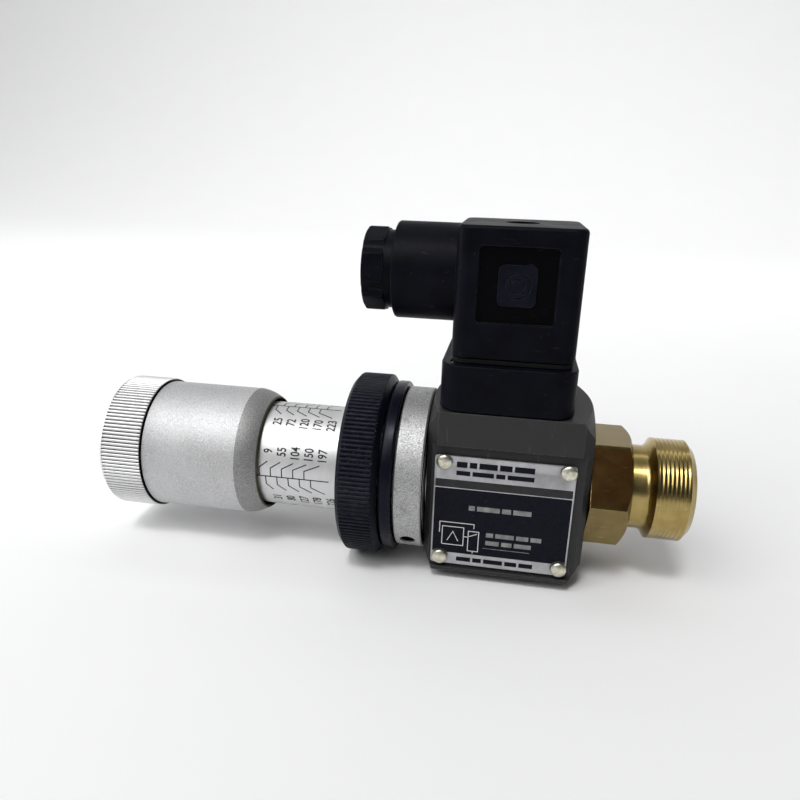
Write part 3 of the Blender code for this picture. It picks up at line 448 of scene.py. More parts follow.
def fitting_brass():
    """Turned brass with a darkened hexagon, fine lathe lines and a few small scratches."""
    f = Finish("fitting_brass", metallic=1.0)
    along, _ = f.polar(AXIS_Z)
    lathe = f.rings(AXIS_Z, 0.16, 3.0)
    cloud = f.noise(3.0, 4.0)
    metal = f.tint(f.ramp(cloud, 0.3, 0.7), (0.34, 0.25, 0.085), (0.47, 0.36, 0.14))
    hexagon = f.math("LESS_THAN", along, (HEX_X1 + 0.2) * MM)
    brown = f.ramp(f.noise(4.5, 4.0), 0.35, 0.70)
    tarnish = f.tint(brown, (0.19, 0.145, 0.052), (0.13, 0.092, 0.030))
    metal = f.over(metal, hexagon, 0.8, tarnish)
    # The hexagon's front upper facet is painted redder, in patches.
    facet = f.within((BODY_HIGH.x, -20.0, AXIS_Z + 0.6), (HEX_X1 - 0.4, -8.2, AXIS_Z + 13.0))
    facet_redness = f.math("MULTIPLY", facet, f.between(brown, 0.55, 0.95))
    metal = f.tint(facet_redness, metal, (0.23, 0.085, 0.022))
    metal = f.over(metal, lathe, 0.30, (0.26, 0.18, 0.065))
    scratch = f.ramp(f.noise(0.5, 3.0, (6.0, 0.6, 0.6)), 0.68, 0.74)
    metal = f.over(metal, scratch, 0.5, (0.92, 0.78, 0.46))
    # Painted highlight: edges lightened to bright brass.
    metal = f.over(metal, f.edge(0.16), 0.8, (0.95, 0.82, 0.50))
    f.bump(lathe, 0.010, 0.5)
    f.bump(f.noise(0.5, 3.0), 0.012, 0.25)
    return f.done(metal, f.between(cloud, 0.17, 0.30))


def plate_silver():
    """Bare aluminium of the nameplate, brushed along its length and handled."""
    f = Finish("plate_silver", metallic=0.9)
    brush = f.noise(0.16, 4.0, (26.0, 1.0, 1.0))
    stain = f.noise(3.4, 4.0)
    light = f.tint(f.ramp(stain, 0.32, 0.72), (0.50, 0.50, 0.515), (0.31, 0.305, 0.31))
    light = f.over(light, brush, 0.35, (0.66, 0.66, 0.67))
    # Painted highlight: edges lightened evenly.
    light = f.over(light, f.edge(0.10), 0.6, (0.70, 0.70, 0.70))
    f.bump(brush, 0.008, 0.5)
    f.bump(f.noise(5.0, 2.0), 0.12, 0.25)
    return f.done(light, f.between(brush, 0.28, 0.42))


def plate_print(name, dark, light, roughness):
    """Screen-printed ink of the nameplate, slightly uneven, with fine scratches."""
    f = Finish(name, specular=0.10)
    uneven = f.noise(2.0, 4.0)
    ink = f.tint(uneven, dark, light)
    scratch = f.ramp(f.noise(0.5, 4.0, (5.0, 1.0, 0.7)), 0.70, 0.76)
    ink = f.over(ink, scratch, 0.35, (0.20, 0.20, 0.21))
    f.bump(f.noise(0.3, 3.0), 0.006, 0.4)
    return f.done(ink, f.between(uneven, roughness, roughness + 0.12))


def rivet_nickel():
    """Nickel-plated rivet heads with a warm cast, dulled in patches."""
    f = Finish("rivet_nickel", metallic=1.0)
    cloud = f.ramp(f.noise(1.1, 4.0), 0.36, 0.66)
    metal = f.tint(cloud, (0.78, 0.76, 0.64), (0.56, 0.53, 0.42))
    pits = f.ramp(f.noise(0.22, 3.0), 0.64, 0.72)
    metal = f.over(metal, pits, 0.6, (0.26, 0.24, 0.18))
    f.bump(f.noise(0.5, 3.0), 0.03, 0.4)
    return f.done(metal, f.between(cloud, 0.30, 0.46))


def worked_metal(name, dark, light, roughness):
    """Machined or plated metal with turning rings and faint stains."""
    f = Finish(name, metallic=1.0)
    lathe = f.rings(AXIS_Z, 0.14, 3.0)
    stain = f.ramp(f.noise(2.6, 4.0), 0.35, 0.70)
    metal = f.tint(stain, dark, light)
    metal = f.over(metal, lathe, 0.25, tuple(0.6 * c for c in dark))
    f.bump(lathe, 0.008, 0.5)
    f.bump(f.noise(0.35, 3.0), 0.01, 0.3)
    return f.done(metal, f.between(stain, roughness, roughness + 0.14))


def plain_polymer(name, dark, light, roughness, grain=0.3):
    """Moulded plastic or rubber with fine grain and slight colour drift."""
    f = Finish(name, specular=0.22)
    fine = f.noise(grain, 3.0)
    dye = f.tint(f.noise(3.0, 3.0), dark, light)
    dye = f.over(dye, f.ramp(fine, 0.6, 0.75), 0.4, tuple(1.8 * c for c in light))
    f.bump(fine, 0.02, 0.5)
    return f.done(dye, f.between(fine, roughness, roughness + 0.12))


# Mesh tools


def rounded(outline, radius):
    """The outline with each corner off the axis turned into a small arc."""
    arc_steps = 3
    points = [Vector(p) for p in outline]
    made = []
    for index, corner in enumerate(points):
        before = points[index - 1] - corner
        after = points[(index + 1) % len(points)] - corner
        sharp = min(before.length, after.length) < 1e-6
        if sharp or abs(before.angle(after) - math.pi) < 0.02 or corner.y <= 1e-6:
            made.append(tuple(corner))
            continue
        half = before.angle(after) / 2
        reach = min(radius / math.tan(half), 0.45 * before.length, 0.45 * after.length)
        start = corner + before.normalized() * reach
        end = corner + after.normalized() * reach
        for step in range(arc_steps + 1):
            t = step / arc_steps
            made.append(tuple((1 - t) ** 2 * start + 2 * t * (1 - t) * corner + t * t * end))
    return made


def lathe_mesh(outline, steps, rule=None, axis_z=AXIS_Z):
    """Turn a closed (along, radius) outline about an axis along X; rule may change a radius."""
    bm = bmesh.new()
    rows = []
    for step in range(steps):
        angle = step / steps * FULL_TURN
        row = []
        for along, radius in outline:
            reach = radius if rule is None else rule(along, radius, angle)
            place = (along, -reach * math.cos(angle), axis_z + reach * math.sin(angle))
            row.append(bm.verts.new(place))
        rows.append(row)
    for here, there in zip(rows, rows[1:] + rows[:1]):
        for index, (_, radius) in enumerate(outline):
            after = (index + 1) % len(outline)
            if radius > 0.0 or outline[after][1] > 0.0:
                bm.faces.new((here[index], here[after], there[after], there[index]))
    bmesh.ops.remove_doubles(bm, verts=bm.verts, dist=1e-5)
    return bm


def block_mesh(low, high):
    """A plain block between two corners."""
    bm = bmesh.new()
    bmesh.ops.create_cube(bm, size=1.0)
    low = Vector(low)
    high = Vector(high)
    bmesh.ops.scale(bm, vec=high - low, verts=bm.verts)
    bmesh.ops.translate(bm, vec=(low + high) / 2, verts=bm.verts)
    return bm


def edges_along(bm, axis):
    """The edges of a block that run along one axis, 0 for X, 1 for Y and 2 for Z."""
    found = []
    for edge in bm.edges:
        run = edge.verts[1].co - edge.verts[0].co
        if abs(run[axis]) > 0.99 * run.length:
            found.append(edge)
    return found


def rounded_block(low, high, corner, along=2, segments=8):
    """A block whose edges along one axis are rounded."""
    bm = block_mesh(low, high)
    bmesh.ops.bevel(
        bm, geom=edges_along(bm, along), offset=corner, segments=segments, profile=0.5, affect="EDGES"
    )
    return bm


def raw_object(name, bm):
    """An object made from a bmesh in millimetres."""
    bmesh.ops.recalc_face_normals(bm, faces=bm.faces)
    bmesh.ops.scale(bm, vec=(MM, MM, MM), verts=bm.verts)
    mesh = bpy.data.meshes.new(name)
    bm.to_mesh(mesh)
    bm.free()
    made = bpy.data.objects.new(name, mesh)
    bpy.context.scene.collection.objects.link(made)
    return made


def apply_modifiers(piece):
    """Write a piece's modifiers into its mesh."""
    bpy.context.view_layer.update()
    evaluated = piece.evaluated_get(bpy.context.evaluated_depsgraph_get())
    mesh = bpy.data.meshes.new_from_object(evaluated)
    piece.modifiers.clear()
    piece.data = mesh
    return piece


def cut(piece, tool_mesh, operation="DIFFERENCE"):
    """Combine a piece with a tool given as a bmesh in millimetres."""
    tool = raw_object("tool", tool_mesh)
    step = piece.modifiers.new("step", "BOOLEAN")
    step.operation = operation
    step.solver = "EXACT"
    step.object = tool
    apply_modifiers(piece)
    bpy.data.objects.remove(tool, do_unlink=True)
    return piece


def soften(piece, width, segments=2):
    """Round a piece's sharp edges a little, as deburring or moulding leaves them."""
    bevel = piece.modifiers.new("soften", "BEVEL")
    bevel.width = width * MM
    bevel.segments = segments
    bevel.limit_method = "ANGLE"
    sharpest_kept = 38.0
    bevel.angle_limit = math.radians(sharpest_kept)
    bevel.use_clamp_overlap = True
    bevel.miter_outer = "MITER_ARC"
    return apply_modifiers(piece)


def dress(piece, finish, body, slot, *replaced, weighted=False):
    """Shade a piece, give it its finish and tie it to its CAD body."""
    piece.data.shade_smooth()
    piece.data.set_sharp_from_angle(angle=SMOOTH_ANGLE)
    if weighted:
        step = piece.modifiers.new("normals", "WEIGHTED_NORMAL")
        step.keep_sharp = True
        step.weight = 80
    piece.data.materials.clear()
    piece.data.materials.append(finish)
    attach(piece, body)
    if replaced:
        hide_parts(*replaced)
    return piece


def turned_piece(name, outline, finish, body, slot, *replaced, steps=FINE_STEPS, corner=0.2):
    """A turned piece with slightly rounded corners."""
    bm = lathe_mesh(rounded(outline, corner), steps)
    return dress(raw_object(name, bm), finish, body, slot, *replaced)


def rod_mesh(radius, start, direction, length, steps=SMALL_STEPS):
    """A plain round tool from a point along a direction."""
    bm = bmesh.new()
    bmesh.ops.create_cone(
        bm, cap_ends=True, segments=steps, radius1=radius, radius2=radius, depth=length
    )
    way = Vector(direction).normalized()
    turn = way.to_track_quat("Z", "Y").to_matrix().to_4x4()
    shift = Matrix.Translation(Vector(start) + way * length / 2)
    bmesh.ops.transform(bm, matrix=shift @ turn, verts=bm.verts)
    return bm


# Body and nameplate


def make_body(finish):
    """Anodised block with turned ends, plate pocket, bores and switch chamber."""
    corner_chamfer = 2.7
    bm = block_mesh(BODY_LOW, BODY_HIGH)
    bmesh.ops.bevel(bm, geom=edges_along(bm, 2), offset=corner_chamfer, segments=1, affect="EDGES")
    body = raw_object("body_block", bm)
    cut(body, turned_ends_mesh(), "INTERSECT")
    pocket_depth = 1.2
    low = (BODY_LOW.x - 4.0, BODY_LOW.y - 4.0, 1.0)
    high = (BODY_HIGH.x + 4.0, BODY_LOW.y + pocket_depth, 34.4)
    cut(body, block_mesh(low, high))
    soften(body, 0.28)
    cut(body, body_bore_mesh())
    chamber_low, chamber_high = (-12.7, -8.0, 15.5), (4.0, 5.5, 44.0)
    cut(body, block_mesh(chamber_low, chamber_high))
    for node in RIVETS:
        x, _, z = centre_of(node)
        cut(body, rod_mesh(1.1, (x, BODY_LOW.y, z), (0, 1, 0), 5.0, 24))
    for node in ("base_screw_1", "base_screw_2"):
        x, y, _ = centre_of(node)
        cut(body, rod_mesh(1.8, (x, y, BODY_HIGH.z - 8.0), (0, 0, 1), 9.0, 24))
    for node in ("microswitch_screw_1", "microswitch_screw_2"):
        x, _, z = centre_of(node)
        cut(body, rod_mesh(1.4, (x, 4.5, z), (0, 1, 0), 4.6, 24))
    return dress(body, finish, "switch", "black_anodised", "switch_body", weighted=True)


def turned_ends_mesh():
    """The lathe form that cuts the corners of both ends of the block."""
    end_radius = 21.2
    far_radius = 30.0
    rise = math.hypot(BODY_HIGH.y, AXIS_Z) - end_radius
    neck_slope = rise / 2.5
    port_slope = rise / 3.1
    over = 1.0
    outline = [
        (BODY_LOW.x - over, 0.0),
        (BODY_LOW.x - over, end_radius - over * neck_slope),
        (BODY_LOW.x + (far_radius - end_radius) / neck_slope, far_radius),
        (BODY_HIGH.x - (far_radius - end_radius) / port_slope, far_radius),
        (BODY_HIGH.x + over, end_radius - over * port_slope),
        (BODY_HIGH.x + over, 0.0),
    ]
    return lathe_mesh(outline, FINE_STEPS)


def body_bore_mesh():
    """The stepped bore of the body, for the neck on one side and the fitting on the other."""
    left = BODY_LOW.x
    right = BODY_HIGH.x
    neck_end = NECK_X1 + GAP
    outline = [
        (left - 2.0, 0.0), (left - 2.0, 13.0), (neck_end, 13.0), (neck_end, 4.6), (3.5, 4.6),
        (3.5, 10.0), (right - 2.0, 10.0), (right - 2.0, 12.0), (right + 2.0, 12.0), (right + 2.0, 0.0),
    ]
    return lathe_mesh(outline, 96)


def make_nameplate(silver, black_ink, grey_ink, white_ink, worn_ink):
    """The thin plate with its printed bands, a generic contact symbol and blank rules."""
    plate = raw_object("plate_sheet", rounded_block(PLATE_LOW, PLATE_HIGH, 0.8, along=1, segments=6))
    for node in RIVETS:
        x, _, z = centre_of(node)
        cut(plate, rod_mesh(1.1, (x, PLATE_LOW.y - 3.0, z), (0, 1, 0), 5.0, 24))
    dress(soften(plate, 0.06), silver, "switch", "printed_plate", "nameplate")
    edge = 0.35
    left = PLATE_LOW.x + edge
    right = PLATE_HIGH.x - edge
    field_bottom = PLATE_LOW.z + 3.2
    strip_bottom = PLATE_HIGH.z - 8.7
    strip_top = PLATE_HIGH.z - 6.3
    print_area("plate_field", left, right, field_bottom, strip_bottom, black_ink)
    print_area("plate_strip", left, right, strip_bottom + 0.25, strip_top, grey_ink)
    x = PLATE_LOW.x + 2.7
    z = field_bottom + 1.0
    symbol = [
        *box_lines(x, z + 1.3, x + 5.4, z + 6.4),
        *box_lines(x + 6.6, z, x + 9.2, z + 5.6),
        [(x - 0.7, z + 4.6), (x - 0.7, z + 7.6), (x + 7.9, z + 7.6), (x + 7.9, z + 6.4)],
        [(x + 5.4, z + 3.9), (x + 6.6, z + 3.9)],
        [(x + 7.9, z), (x + 7.9, z - 0.6)],
        [(x + 6.6, z + 4.0), (x + 8.8, z + 5.0)],
        [(x + 1.3, z + 2.4), (x + 2.7, z + 5.1), (x + 4.1, z + 2.4)],
    ]
    print_lines("plate_symbol", symbol, 0.20, white_ink)
    band = strip_top + 1.0
    dark_bars = [
        *bar_row(PLATE_LOW.x + 5.4, band + 2.4, 1.5, (2.6, 1.8, 4.4, 3.0, 4.8)),
        *bar_row(PLATE_LOW.x + 5.4, band + 0.3, 1.2, (3.4, 5.2, 2.2, 6.4)),
        *bar_row(PLATE_LOW.x + 6.6, PLATE_LOW.z + 1.0, 1.2, (3.6, 2.2, 4.8, 3.0, 3.4)),
    ]
    print_bars("plate_dark_fields", dark_bars, black_ink)
    light_bars = [
        *bar_row(PLATE_LOW.x + 9.0, strip_bottom - 5.6, 1.3, (1.5, 5.6, 2.2, 4.4)),
        *bar_row(x + 11.0, z + 4.4, 1.2, (1.8, 4.6, 3.0, 2.6)),
        *bar_row(x + 11.0, z + 2.2, 1.2, (3.4, 2.6, 4.2)),
    ]
    print_bars("plate_light_fields", light_bars, worn_ink)
    rule = [[(x + 10.4, z + 1.2), (x + 22.0, z + 1.2)]]
    print_lines("plate_rule", rule, 0.14, worn_ink)


def bar_row(x, z, height, lengths):
    """Corners of a row of plain bars, one for each blank field."""
    row = []
    for length in lengths:
        row.append((x, z, x + length, z + height))
        x += length + 0.55
    return row


def print_bars(name, bars, ink):
    """Plain printed bars, left blank where a plate would carry its data."""
    bm = bmesh.new()
    front = PLATE_LOW.y
    for x0, z0, x1, z1 in bars:
        made = bmesh.ops.create_cube(bm, size=1.0)["verts"]
        bmesh.ops.scale(bm, vec=(x1 - x0, 0.018, z1 - z0), verts=made)
        bmesh.ops.translate(bm, vec=((x0 + x1) / 2, front - 0.024, (z0 + z1) / 2), verts=made)
    return dress(raw_object(name, bm), ink, "switch", "printed_plate")


def box_lines(x0, z0, x1, z1):
    """The outline of an upright rectangle as one closed run."""
    return [[(x0, z0), (x1, z0), (x1, z1), (x0, z1), (x0, z0)]]


def print_area(name, x0, x1, z0, z1, ink):
    """A printed rectangle, a hundredth of a millimetre or two proud of the plate."""
    thickness = 0.015
    front = PLATE_LOW.y
    low = (x0, front - thickness, z0)
    high = (x1, front + 0.005, z1)
    area = raw_object(name, rounded_block(low, high, 0.3, along=1, segments=4))
    for node in RIVETS:
        x, _, z = centre_of(node)
        if z0 - 3.0 < z < z1 + 3.0:
            cut(area, rod_mesh(2.2, (x, front - 3.0, z), (0, 1, 0), 5.0, 32))
    return dress(area, ink, "switch", "printed_plate")


def stroke_faces(bm, points, width, place):
    """Add one drawn stroke of constant width; place turns a flat point into a place in space."""
    flat = [Vector(p) for p in points]
    sides = []
    for index, point in enumerate(flat):
        ahead = flat[min(index + 1, len(flat) - 1)] - point
        behind = point - flat[max(index - 1, 0)]
        ahead = ahead.normalized() if ahead.length > 0 else behind.normalized()
        behind = behind.normalized() if behind.length > 0 else ahead
        lean = (ahead + behind).normalized()
        across = Vector((-lean.y, lean.x))
        stretch = min(1.0 / max(across.dot(Vector((-ahead.y, ahead.x))), 0.5), 1.6)
        sides.append((point + across * width / 2 * stretch, point - across * width / 2 * stretch))
    rows = []
    for first, second in sides:
        rows.append([bm.verts.new(place(p, level)) for p in (first, second) for level in (0, 1)])
    for here, there in zip(rows, rows[1:]):
        bm.faces.new((here[1], here[3], there[3], there[1]))
        bm.faces.new((here[0], there[0], there[2], here[2]))
        bm.faces.new((here[0], here[1], there[1], there[0]))
        bm.faces.new((here[2], there[2], there[3], here[3]))
    bm.faces.new((rows[0][0], rows[0][2], rows[0][3], rows[0][1]))
    bm.faces.new((rows[-1][0], rows[-1][1], rows[-1][3], rows[-1][2]))


def print_lines(name, runs, width, ink):
    """Thin printed lines on the nameplate."""
    bm = bmesh.new()

    def place(point, level):
        return (point.x, PLATE_LOW.y - 0.012 - 0.018 * level, point.y)

    for run in runs:
        stroke_faces(bm, run, width, place)
    return dress(raw_object(name, bm), ink, "switch", "printed_plate")


def make_rivets(finish):
    """Dome-headed rivets of the nameplate."""
    for number, node in enumerate(RIVETS, 1):
        low, high = span(node)
        x, _, z = centre_of(node)
        head_r = (high.x - low.x) / 2
        dome_height = 0.9
        back = low.y + dome_height
        bm = bmesh.new()
        rim = 7
        profile = [(high.y, 0.0), (high.y, 0.8), (back, 0.8), (back, head_r - 0.12)]
        for step in range(rim + 1):
            angle = step / rim * math.pi / 2
            profile.append((back - 0.12 - (dome_height - 0.12) * math.sin(angle), head_r * math.cos(angle)))
        profile[-1] = (low.y, 0.0)
        rows = []
        for step in range(SMALL_STEPS):
            turn = step / SMALL_STEPS * FULL_TURN
            across, up = math.cos(turn), math.sin(turn)
            rows.append([bm.verts.new((x + r * across, y, z + r * up)) for y, r in profile])
        for here, there in zip(rows, rows[1:] + rows[:1]):
            for index in range(len(profile) - 1):
                bm.faces.new((here[index], here[index + 1], there[index + 1], there[index]))
        bmesh.ops.remove_doubles(bm, verts=bm.verts, dist=1e-5)
        dress(raw_object(f"rivet_head_{number}", bm), finish, "switch", "rivet_metal", node)


# Setting head


def tooth_rule(x0, x1, crest, depth, teeth, flat=0.30):
    """Radius rule of a straight knurl between two places along the axis."""

    def rule(along, radius, angle):
        if radius < crest - 3.0 or not x0 <= along <= x1:
            return radius
        phase = (angle * teeth / FULL_TURN) % 1.0
        away = abs(2.0 * phase - 1.0)
        groove = max(0.0, (away - flat) / (1.0 - flat))
        return min(radius, crest - depth * groove)

    return rule


def make_knurled_cap(finish):
    """Cap with a straight knurl that runs out in its front chamfer."""
    floor_x = SLEEVE_X0 - GAP
    screw_floor = CAP_X0 + 3.5
    outline = [
        (CAP_X0, 6.2), (CAP_X0, CAP_R - 2.4), (CAP_X0 + 0.02, CAP_R - 1.15),
        (CAP_X0 + 0.22, CAP_R - 0.72), (CAP_X0 + 0.50, CAP_R - 0.40), (CAP_X0 + 0.95, CAP_R - 0.10),
        (CAP_X0 + 1.02, CAP_R - 0.08), (CAP_X0 + 1.08, CAP_R - 0.06), (CAP_X0 + 1.45, CAP_R),
        (CAP_X0 + 2.2, CAP_R), (CAP_X1 - 0.7, CAP_R), (CAP_X1 - 0.15, CAP_R), (CAP_X1, CAP_R - 0.12),
        (CAP_X1, CAP_R - 0.7), (CAP_X1, CAP_R - 2.0), (floor_x, CAP_R - 2.0), (floor_x, 3.2),
        (screw_floor, 3.2), (screw_floor, 6.0), (CAP_X0 + 0.2, 6.0),
    ]
    rule = tooth_rule(CAP_X0 + 1.05, CAP_X1, CAP_R, 0.42, CAP_TEETH, 0.42)
    bm = lathe_mesh(outline, CAP_TEETH * 8, rule)
    dress(raw_object("cap_knurl", bm), finish, "setting_knob", "bright_aluminium", "knurled_cap")


def make_sleeve(finish):
    """Blasted sleeve with its tapered mouth and the wiper groove inside."""
    tail_r = CAP_R - 2.3
    bore_r = 14.5
    groove_x = SLEEVE_MOUTH_X - 2.1
    groove_r = 15.7
    taper_x = SLEEVE_MOUTH_X - 5.5
    shares = [k / 12 for k in range(13)]
    taper = [(taper_x + 5.5 * t, SLEEVE_R - 0.45 * t - 1.65 * t * t) for t in shares]
    outline = [
        (SLEEVE_X0, tail_r), (CAP_X1 + GAP, tail_r), (CAP_X1 + GAP, SLEEVE_R),
        *taper,
        (SLEEVE_MOUTH_X, 15.0), (groove_x, 14.7), (groove_x, groove_r), (groove_x - 2.5, groove_r),
        (groove_x - 2.5, bore_r), (SLEEVE_X0, bore_r),
    ]
    turned_piece("sleeve_skin", outline, finish, "setting_knob", "satin_aluminium", "adjusting_sleeve",
                 corner=0.12)


def make_barrel(finish):
    """Smooth turned barrel that carries the scale."""
    bore_r = 12.3
    outline = [
        (BARREL_X0, bore_r), (BARREL_X0, BARREL_R - 0.4), (BARREL_X0 + 0.4, BARREL_R),
        (BARREL_X1, BARREL_R), (BARREL_X1, bore_r),
    ]
    turned_piece("barrel_tube", outline, finish, "switch", "satin_aluminium", "scale_barrel")


def make_ring_nut(finish):
    """Ring nut with a coarse straight knurl and smooth chamfers."""
    left_chamfer = 1.2
    right_chamfer = 1.3
    outline = [
        (NUT_X0, RING_BORE_R), (NUT_X0, NUT_R - left_chamfer - 0.12),
        (NUT_X0 + 0.1, NUT_R - left_chamfer),
        (NUT_X0 + left_chamfer * 0.55, NUT_R - left_chamfer * 0.5),
        (NUT_X0 + left_chamfer - 0.2, NUT_R - 0.16), (NUT_X0 + left_chamfer, NUT_R - 0.04),
        (NUT_X0 + left_chamfer + 0.4, NUT_R), (NUT_X1 - right_chamfer - 0.25, NUT_R),
        (NUT_X1 - right_chamfer, NUT_R - 0.08), (NUT_X1 - right_chamfer + 0.12, NUT_R - 0.22),
        (NUT_X1 - 0.12, CLAMP_R - 0.25), (NUT_X1, CLAMP_R - 0.4), (NUT_X1, RING_BORE_R),
    ]
    rule = tooth_rule(NUT_X0, NUT_X1 - right_chamfer + 0.05, NUT_R, 0.38, NUT_TEETH, 0.34)
    bm = lathe_mesh(outline, NUT_TEETH * 8, rule)
    dress(raw_object("nut_knurl", bm), finish, "ring_nut", "black_anodised", "ring_nut")


def make_clamp_ring(finish):
    """Smooth thrust ring with a shallow step on its rim."""
    outline = [
        (CLAMP_X0, RING_BORE_R), (CLAMP_X0, CLAMP_R - 0.5), (CLAMP_X0 + 0.5, CLAMP_R),
        (CLAMP_X1 - 0.35, CLAMP_R), (CLAMP_X1, CLAMP_R - 0.35), (CLAMP_X1, RING_BORE_R),
    ]
    turned_piece("clamp_disc", outline, finish, "clamp_slide", "black_anodised", "clamp_ring")


def make_flange_ring(finish):
    """Silver ring with its two tommy-bar holes."""
    tommy_r = 2.0
    tommy_angle = math.radians(-40.0)
    chamfer = 0.4
    outline = [
        (FLANGE_X0, RING_BORE_R), (FLANGE_X0, FLANGE_R - chamfer), (FLANGE_X0 + chamfer, FLANGE_R),
        (FLANGE_X1 - chamfer, FLANGE_R), (FLANGE_X1, FLANGE_R - chamfer), (FLANGE_X1, RING_BORE_R),
    ]
    ring = raw_object("flange_band", lathe_mesh(rounded(outline, 0.12), FINE_STEPS))
    middle = (FLANGE_X0 + FLANGE_X1) / 2
    for number in range(2):
        angle = tommy_angle + number * math.pi
        way = Vector((0.0, -math.cos(angle), math.sin(angle)))
        start = Vector((middle, 0.0, AXIS_Z)) + way * 17.0
        cut(ring, rod_mesh(tommy_r, start, way, 8.0))
    dress(ring, finish, "switch", "cast_silver", "flange_ring", weighted=True)


def make_neck(finish):
    """Threaded neck behind the ring nut."""
    spigot_r = 12.7
    bore_r = 4.3
    chamber_r = 11.4
    chamber_x = -22.0
    outline = [
        (NECK_X0, BARREL_R + GAP), (NECK_X0, NECK_R - 0.5), (NECK_X0 + 0.5, NECK_R),
        (FLANGE_X1, NECK_R), (FLANGE_X1, spigot_r), (NECK_X1, spigot_r), (NECK_X1, bore_r),
        (chamber_x, bore_r), (chamber_x, chamber_r), (BARREL_X1 + GAP, chamber_r),
        (BARREL_X1 + GAP, BARREL_R + GAP),
    ]
    turned_piece("neck_tube", outline, finish, "switch", "zinc_steel", "threaded_neck", steps=MEDIUM_STEPS)


def make_knob_screw(finish):
    """Socket-head screw of the cap, with a six-sided socket."""
    head_x = CAP_X0 + 3.5 - GAP
    face_x = KNOB_SCREW_X0
    outline = [
        (face_x, 0.0), (face_x, KNOB_SCREW_R - 0.35), (face_x + 0.35, KNOB_SCREW_R),
        (head_x, KNOB_SCREW_R), (head_x, 2.9), (KNOB_SCREW_X1, 2.9), (KNOB_SCREW_X1, 0.0),
    ]
    screw = raw_object("cap_screw", lathe_mesh(rounded(outline, 0.15), SMALL_STEPS * 2))
    cut(screw, rod_mesh(2.9, (face_x - 1.0, 0.0, AXIS_Z), (1, 0, 0), 3.2, 6))
    dress(screw, finish, "setting_knob", "zinc_steel", "knob_screw")


# Scale


LINE_TURN = math.radians(-3.8)
TICK_PITCH = 3.03
LEAD_PITCH = 3.5
READING_PITCH = 3.66
DIGIT_HEIGHT = 2.45
# line number, way the marks run, first tick, first lead end, first reading centre, its readings
SCALE_ROWS = (
    (0, 1, -62.65, -60.45, -60.50, (9, 55, 104, 150, 197)),
    (0, -1, -60.95, -59.20, -58.65, (31, 80, 127, 178, 226)),
    (1, -1, -61.55, -59.40, -59.60, (25, 72, 120, 170, 223)),
    (1, 1, -60.05, -58.00, -57.90, (43, 92, 139, 190, 238)),
    (2, -1, -62.20, -60.10, -60.20, (17, 63, 112, 158, 206)),
    (2, 1, -60.50, -58.50, -58.30, (37, 86, 133, 184, 232)),
    (3, 1, -61.80, -59.70, -59.70, (28, 76, 123, 174, 225)),
    (3, -1, -61.10, -59.00, -59.10, (21, 68, 116, 164, 215)),
)


def line_arc(number):
    """Distance round the barrel from the front to one of the four long scale lines."""
    return (LINE_TURN + number * math.pi / 2) * BARREL_R


def on_barrel(along, arc, level):
    """Place on the barrel: arc is the distance round it in millimetres from the front."""
    radius = BARREL_R + (0.03 if level else 0.004)
    angle = arc / BARREL_R
    return (along, -radius * math.cos(angle), AXIS_Z + radius * math.sin(angle))


def make_scale_lines(ink):
    """The four long scale lines and the ticks and leads that join them to the readings."""
    width = 0.28
    tick = 2.35
    lead = 1.8
    bm = bmesh.new()

    def place(point, level):
        return on_barrel(point.x, point.y, level)

    for number in range(4):
        arc = line_arc(number)
        steps = [(-64.0 + 0.5 * k, arc) for k in range(41)]
        stroke_faces(bm, steps, width, place)
    for number, way, tick_x, lead_x, _, readings in SCALE_ROWS:
        base = line_arc(number)
        for index in range(len(readings)):
            start = tick_x + index * TICK_PITCH
            end = lead_x + index * LEAD_PITCH
            run = [(start, base), (start, base + way * tick * 0.5), (start, base + way * tick)]
            run += [((start + end) / 2, base + way * (tick + lead / 2)), (end, base + way * (tick + lead))]
            stroke_faces(bm, run, width, place)
    dress(raw_object("scale_lines", bm), ink, "switch", "satin_aluminium")


def glyphs(text):
    """The flat mesh of a short number in the built-in face, as vertices and faces."""
    curve = bpy.data.curves.new("reading", "FONT")
    curve.body = text
    curve.size = 1.0
    curve.extrude = 0.01
    curve.offset = 0.016
    curve.resolution_u = 4
    holder = bpy.data.objects.new("reading", curve)
    bpy.context.scene.collection.objects.link(holder)
    bpy.context.view_layer.update()
    mesh = bpy.data.meshes.new_from_object(holder.evaluated_get(bpy.context.evaluated_depsgraph_get()))
    points = [tuple(v.co) for v in mesh.vertices]
    faces = [tuple(p.vertices) for p in mesh.polygons]
    bpy.data.objects.remove(holder, do_unlink=True)
    return points, faces


def make_scale_readings(ink):
    """The numbers of the scale, read from below with their heads towards the knob."""
    squeeze = 0.72
    middle = 6.85
    bm = bmesh.new()
    for number, way, _, _, reading_x, readings in SCALE_ROWS:
        for index, value in enumerate(readings):
            points, faces = glyphs(str(value))
            low = [min(p[k] for p in points) for k in (0, 1)]
            high = [max(p[k] for p in points) for k in (0, 1)]
            scale = DIGIT_HEIGHT / (high[1] - low[1])
            centre_x = reading_x + index * READING_PITCH
            centre_arc = line_arc(number) + way * (middle if way > 0 or number % 2 else middle + 0.6)
            made = []
            for gx, gy, gz in points:
                along = centre_x - scale * (gy - (low[1] + high[1]) / 2)
                arc = centre_arc + scale * squeeze * (gx - (low[0] + high[0]) / 2)
                made.append(bm.verts.new(on_barrel(along, arc, gz > 0.0)))
            for face in faces:
                bm.faces.new([made[k] for k in face])
    bmesh.ops.remove_doubles(bm, verts=bm.verts, dist=1e-4)
    dress(raw_object("scale_readings", bm), ink, "switch", "satin_aluminium")


# Port fitting


